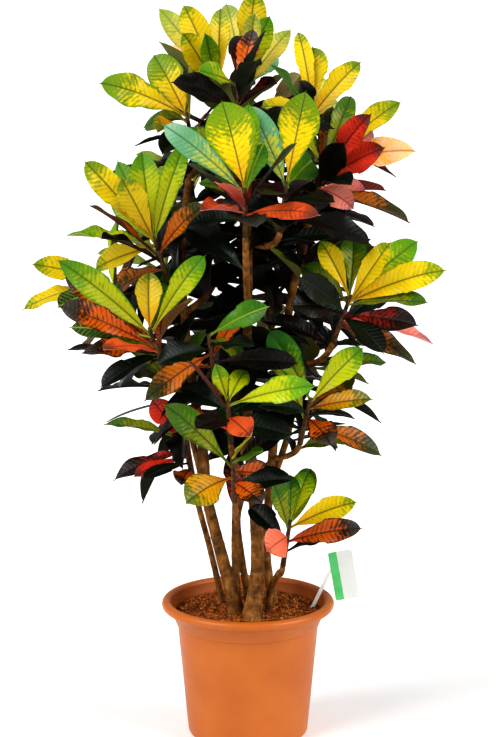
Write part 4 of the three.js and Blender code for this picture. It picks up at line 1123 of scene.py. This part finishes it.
def grow(item, calm=1):
    """Works out a leaf's places and tones from its own numbers, and a tree of its faces to test with."""
    leaf, mesh, grid, faces, numbers = item["from"]
    draw = iter(numbers)
    where, pattern, shape = leaf_surface(leaf, grid, draw, calm)
    facts = {**leaf_tones(leaf["kind"], shape, draw), "pattern": pattern, "shape": shape}
    item["part"] = (mesh, where, facts)
    item["tree"] = BVHTree.FromPolygons(where.tolist(), faces)
    item["low"] = where.min(0)
    item["high"] = where.max(0)


def turned_leaf(leaf, turn, share):
    """An inner leaf turned round its branch by so many degrees, and grown to a share of its size."""
    turned = Matrix.Rotation(math.radians(turn), 3, Vector(leaf["axis"]))
    end = leaf["node"] + np.array(turned) @ (leaf["tip"] - leaf["node"]) * share
    return {**leaf, "tip": end, "facing": looking_out(end), "width": leaf["width"] * share}


def crossings(item, others):
    """The leaves among the others that a leaf cuts through."""
    near = [o for o in others if (o["low"] < item["high"]).all() and (item["low"] < o["high"]).all()]
    return [o for o in near if item["tree"].overlap(o["tree"])]


leaf_faces = blade_faces(leaf_mesh, grid)
inner_faces = blade_faces(inner_leaf_mesh, inner_grid)
planned = []
inner = []
for head_number, (head, (trunk, fork, tip, shown)) in enumerate(HEADS.items()):
    axis = shoot_axis(tip)
    leaves = planned_leaves(head, tip, axis, shown)
    root_leaves(leaves, tip, axis)
    looks = draws(head_number * 613 + 29)
    ages = sorted({leaf["young"] for leaf in leaves})
    for young in ages:
        node_name = node_of(head, young)
        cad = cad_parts[node_name].data.vertices
        corners = np.empty(len(cad) * 3)
        cad.foreach_get("co", corners)
        corners = corners.reshape(-1, 3) / MM
        for leaf in leaves:
            if leaf["young"] != young:
                continue
            tries = leaf["tip"] + BENDS
            gaps = np.abs(tries[:, None] - corners[None]).max(2).min(1)
            found = np.flatnonzero(gaps < SAME_PLACE)
            if not len(found):
                continue
            placed = {**leaf, "tip": tries[found[0]], "axis": axis}
            planned.append(leaf_to_grow(node_name, placed, leaf_mesh, grid, leaf_faces, looks))
        if young == ages[0]:
            for leaf in inner_leaves(head, trunk, fork, tip):
                inner.append(leaf_to_grow(node_name, leaf, inner_leaf_mesh, inner_grid, inner_faces, looks))

# Where two leaves would cut through each other, both lie flatter, step by step. An inner leaf turns round its
# branch to a free place, or stays smaller.
for item in planned:
    grow(item)
for calm in CALMER:
    crossed = []
    for number, item in enumerate(planned):
        others = crossings(item, planned[:number])
        if others:
            crossed += [item, *others]
    for item in crossed:
        if item.get("calm") != calm:
            item["calm"] = calm
            grow(item, calm)
kept = []
for item in inner:
    leaf = item["from"][0]
    for calm, share, turn in [(*size, turn) for size in INNER_SHARES for turn in INNER_TURNS]:
        moved = turned_leaf(leaf, turn, share)
        if comes_out(moved["tip"]):
            continue
        item["from"] = (moved, *item["from"][1:])
        grow(item, calm)
        if not crossings(item, planned + kept):
            kept.append(item)
            break

for head, (trunk, fork, tip, shown) in HEADS.items():
    axis = shoot_axis(tip)
    ages = [young for young in (False, True) if node_of(head, young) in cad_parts]
    for young in ages:
        node_name = node_of(head, young)
        parts = [item["part"] for item in planned + kept if item["node"] == node_name]
        shoot_start = SHOOT_LENGTH - SHOOT_GAP
        shoot_end = 0
        if len(ages) > 1 and young:
            shoot_start = NEW_GROWTH
        if len(ages) > 1 and not young:
            shoot_end = NEW_GROWTH + SHOOT_GAP
        shoot_bm = bmesh.new()
        shoot_bm.loops.layers.uv.new("OFBake")
        bmesh.ops.create_cone(
            shoot_bm,
            cap_ends=True,
            calc_uvs=True,
            segments=12,
            radius1=between(SHOOT_TIP_RADIUS, BRANCH_RADIUS, shoot_start / SHOOT_LENGTH),
            radius2=between(SHOOT_TIP_RADIUS, BRANCH_RADIUS, shoot_end / SHOOT_LENGTH),
            depth=shoot_start - shoot_end,
        )
        for face in shoot_bm.faces:
            face.material_index = 2
        up = Vector(axis)
        middle = Vector(tip) - up * (shoot_start + shoot_end) / 2
        turned = Vector((0, 0, 1)).rotation_difference(up).to_matrix()
        bmesh.ops.rotate(shoot_bm, matrix=turned, verts=shoot_bm.verts)
        bmesh.ops.translate(shoot_bm, vec=middle, verts=shoot_bm.verts)
        shoot, shoot_places = template(shoot_bm)
        plain = {key: np.zeros((len(shoot_places), values.shape[1])) for key, values in parts[0][2].items()}
        parts.append((shoot, shoot_places, plain))
        made = assembled(node_name + "_leaves", parts, [leaf_top, leaf_under, shoot_skin])
        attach(made, "root")
        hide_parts(node_name)

# The plant label: a die-cut card of white polypropylene with a printed green band down one side, on a thin
# milky stake, moulded, that is pushed into the mix beside the rim. Its face is bare.
LABEL_Y = 18
STAKE_FOOT = (80, 153)
STAKE_HEAD = (116, 230)
STAKE_WIDTH = 5
STAKE_THICKNESS = 0.8
CARD_WIDTH = 34
CARD_HEIGHT = 70
CARD_THICKNESS = 1
CARD_CORNER = 3
STAKE_CORNER = 2
LABEL_SHARP_ANGLE = 35
CARD_MIDDLE = (134, 222)
CARD_LEAN = 10
CARD_BAND = 12


def rounded_bar(bm, width, thickness, height, corner, material_index=0):
    """Adds an upright flat bar about the origin with its corners rounded, and returns its vertices."""
    made = bmesh.ops.create_cube(bm, size=1)["verts"]
    bmesh.ops.scale(bm, vec=(width, thickness, height), verts=made)
    upright = [
        e
        for e in {e for v in made for e in v.link_edges}
        if abs(e.verts[0].co.y - e.verts[1].co.y) > thickness / 2
    ]
    rounded = bmesh.ops.bevel(
        bm, geom=upright, offset=corner, segments=6, profile=0.5, affect="EDGES", material=-1
    )
    faces = set(rounded["faces"]) | {f for v in made if v.is_valid for f in v.link_faces}
    verts = {v for f in faces for v in f.verts}
    faces = {f for v in verts for f in v.link_faces}
    for face in faces:
        face.material_index = material_index
    return list({v for f in faces for v in f.verts})


# White polypropylene sheet with a printed band of green: smooth, with a soft gloss and faint clouds.
card_plastic = new_material("white polypropylene card, printed band")
CARD_CLOUD_MM = 15
BAND_BLUR = 0.0002
card_edge = (CARD_BAND - CARD_WIDTH / 2) * MM
card_place = add(card_plastic, "TexCoord", None, "Object")
card_turned = add(card_plastic, "Mapping", {
    "vector_type": "TEXTURE",
    "Location": (CARD_MIDDLE[0] * MM, LABEL_Y * MM, CARD_MIDDLE[1] * MM),
    "Rotation": (0, math.radians(-CARD_LEAN), 0),
    "Vector": card_place,
})
card_side = add(card_plastic, "SeparateXYZ", {"Vector": card_turned}, "X")
card_band = add(card_plastic, "MapRange", {
    "Value": card_side, "From Min": card_edge - BAND_BLUR, "From Max": card_edge + BAND_BLUR,
    "To Min": 1, "To Max": 0,
})
card_cloud = add(card_plastic, "TexNoise", {"Scale": 1000 / CARD_CLOUD_MM, "Detail": 3, "Vector": card_place})
card_white = add(card_plastic, "ValToRGB", {"stops": [(0.3, "d4d7d3"), (0.7, "dcdfda")], "Fac": card_cloud})
card_green = add(card_plastic, "ValToRGB", {"stops": [(0.3, "3fb25c"), (0.7, "52c46e")], "Fac": card_cloud})
card_colour = add(card_plastic, "Mix", {"data_type": "RGBA", 0: card_band, 6: card_white, 7: card_green}, 2)
card_shader = add(card_plastic, "BsdfPrincipled", {"Base Color": card_colour, "Roughness": 0.3, "IOR": 1.49})
add(card_plastic, "OutputMaterial", {"Surface": card_shader})

# Polystyrene, injection moulded: milky white and glossier than the card.
stake_plastic = new_material("milky white polystyrene, injection moulded")
STAKE_CLOUD_MM = 8
stake_place = add(stake_plastic, "TexCoord", None, "Object")
stake_cloud = add(
    stake_plastic, "TexNoise", {"Scale": 1000 / STAKE_CLOUD_MM, "Detail": 3, "Vector": stake_place}
)
stake_tone = add(stake_plastic, "ValToRGB", {"stops": [(0.3, "d9dad6"), (0.7, "eeefeb")], "Fac": stake_cloud})
stake_shader = add(
    stake_plastic, "BsdfPrincipled", {"Base Color": stake_tone, "Roughness": 0.22, "IOR": 1.58}
)
add(stake_plastic, "OutputMaterial", {"Surface": stake_shader})

label_bm = bmesh.new()
card = rounded_bar(label_bm, CARD_WIDTH, CARD_THICKNESS, CARD_HEIGHT, CARD_CORNER)
bmesh.ops.rotate(label_bm, matrix=Matrix.Rotation(math.radians(-CARD_LEAN), 3, "Y"), verts=card)
bmesh.ops.translate(label_bm, vec=(CARD_MIDDLE[0], LABEL_Y, CARD_MIDDLE[1]), verts=card)
stake_run = STAKE_HEAD[0] - STAKE_FOOT[0]
stake_rise = STAKE_HEAD[1] - STAKE_FOOT[1]
stake_length = math.hypot(stake_run, stake_rise)
stake = rounded_bar(label_bm, STAKE_WIDTH, STAKE_THICKNESS, stake_length, STAKE_CORNER, 1)
bmesh.ops.rotate(label_bm, matrix=Matrix.Rotation(math.atan2(stake_run, stake_rise), 3, "Y"), verts=stake)
stake_middle = ((STAKE_FOOT[0] + STAKE_HEAD[0]) / 2, LABEL_Y, (STAKE_FOOT[1] + STAKE_HEAD[1]) / 2)
bmesh.ops.translate(label_bm, vec=stake_middle, verts=stake)
label = piece("plant_label_card", label_bm, [card_plastic, stake_plastic])
label.data.set_sharp_from_angle(angle=math.radians(LABEL_SHARP_ANGLE))
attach(label, "root")
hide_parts("plant_label")

# The studio: a wide pale floor under soft, even light from all round, with the key light high at the left
# front. The camera stands where the photographer's did, a little above the plant and looking down at it.
FLOOR_HALF = 300
FLOOR_MOTTLE_MM = 250
WORLD_STRENGTH = 0.4
LIGHT_SPREAD = 40
STUDIO_LIGHTS = {"key": ((-1.0, -0.65, 1.0), 2.7), "second": ((1.15, -0.5, 0.85), 2.4)}
CAMERA_PLACE = (0, -2.9, 1.07)
CAMERA_DOWN = 10.75
CAMERA_LENS = 105.6
CAMERA_SENSOR = 36
floor_bm = bmesh.new()
bmesh.ops.create_grid(floor_bm, x_segments=1, y_segments=1, size=FLOOR_HALF / MM)
floor_paint = new_material("white matt floor paint, rolled")
floor_place = add(floor_paint, "TexCoord", None, "Object")
floor_mottle = add(
    floor_paint, "TexNoise", {"Scale": 1000 / FLOOR_MOTTLE_MM, "Detail": 4, "Vector": floor_place}
)
floor_tone = add(floor_paint, "ValToRGB", {"stops": [(0.3, "f6f6f5"), (0.7, "fafafa")], "Fac": floor_mottle})
floor_shader = add(floor_paint, "BsdfPrincipled", {"Base Color": floor_tone, "Roughness": 0.8})
add(floor_paint, "OutputMaterial", {"Surface": floor_shader})
floor = piece("studio_floor", floor_bm, [floor_paint])

world = bpy.data.worlds.new("white studio")
bpy.context.scene.world = world
world.use_nodes = True
world.node_tree.nodes["Background"].inputs["Color"].default_value = (1, 1, 1, 1)
world.node_tree.nodes["Background"].inputs["Strength"].default_value = WORLD_STRENGTH
bpy.context.scene.view_settings.view_transform = "Standard"
bpy.context.scene.view_settings.look = "Medium High Contrast"

for light_name, (light_from, strength) in STUDIO_LIGHTS.items():
    light_data = bpy.data.lights.new(light_name, "SUN")
    light_data.energy = strength
    light_data.angle = math.radians(LIGHT_SPREAD)
    light = bpy.data.objects.new(light_name, light_data)
    light.rotation_euler = Vector(light_from).to_track_quat("Z", "Y").to_euler()
    bpy.context.collection.objects.link(light)

camera_data = bpy.data.cameras.new("camera")
camera_data.lens = CAMERA_LENS
camera_data.sensor_width = CAMERA_SENSOR
camera_data.clip_end = 1000
camera = bpy.data.objects.new("camera", camera_data)
camera.location = CAMERA_PLACE
camera.rotation_euler = (math.radians(90 - CAMERA_DOWN), 0, 0)
bpy.context.collection.objects.link(camera)
bpy.context.scene.camera = camera

bpy.context.view_layer.update()
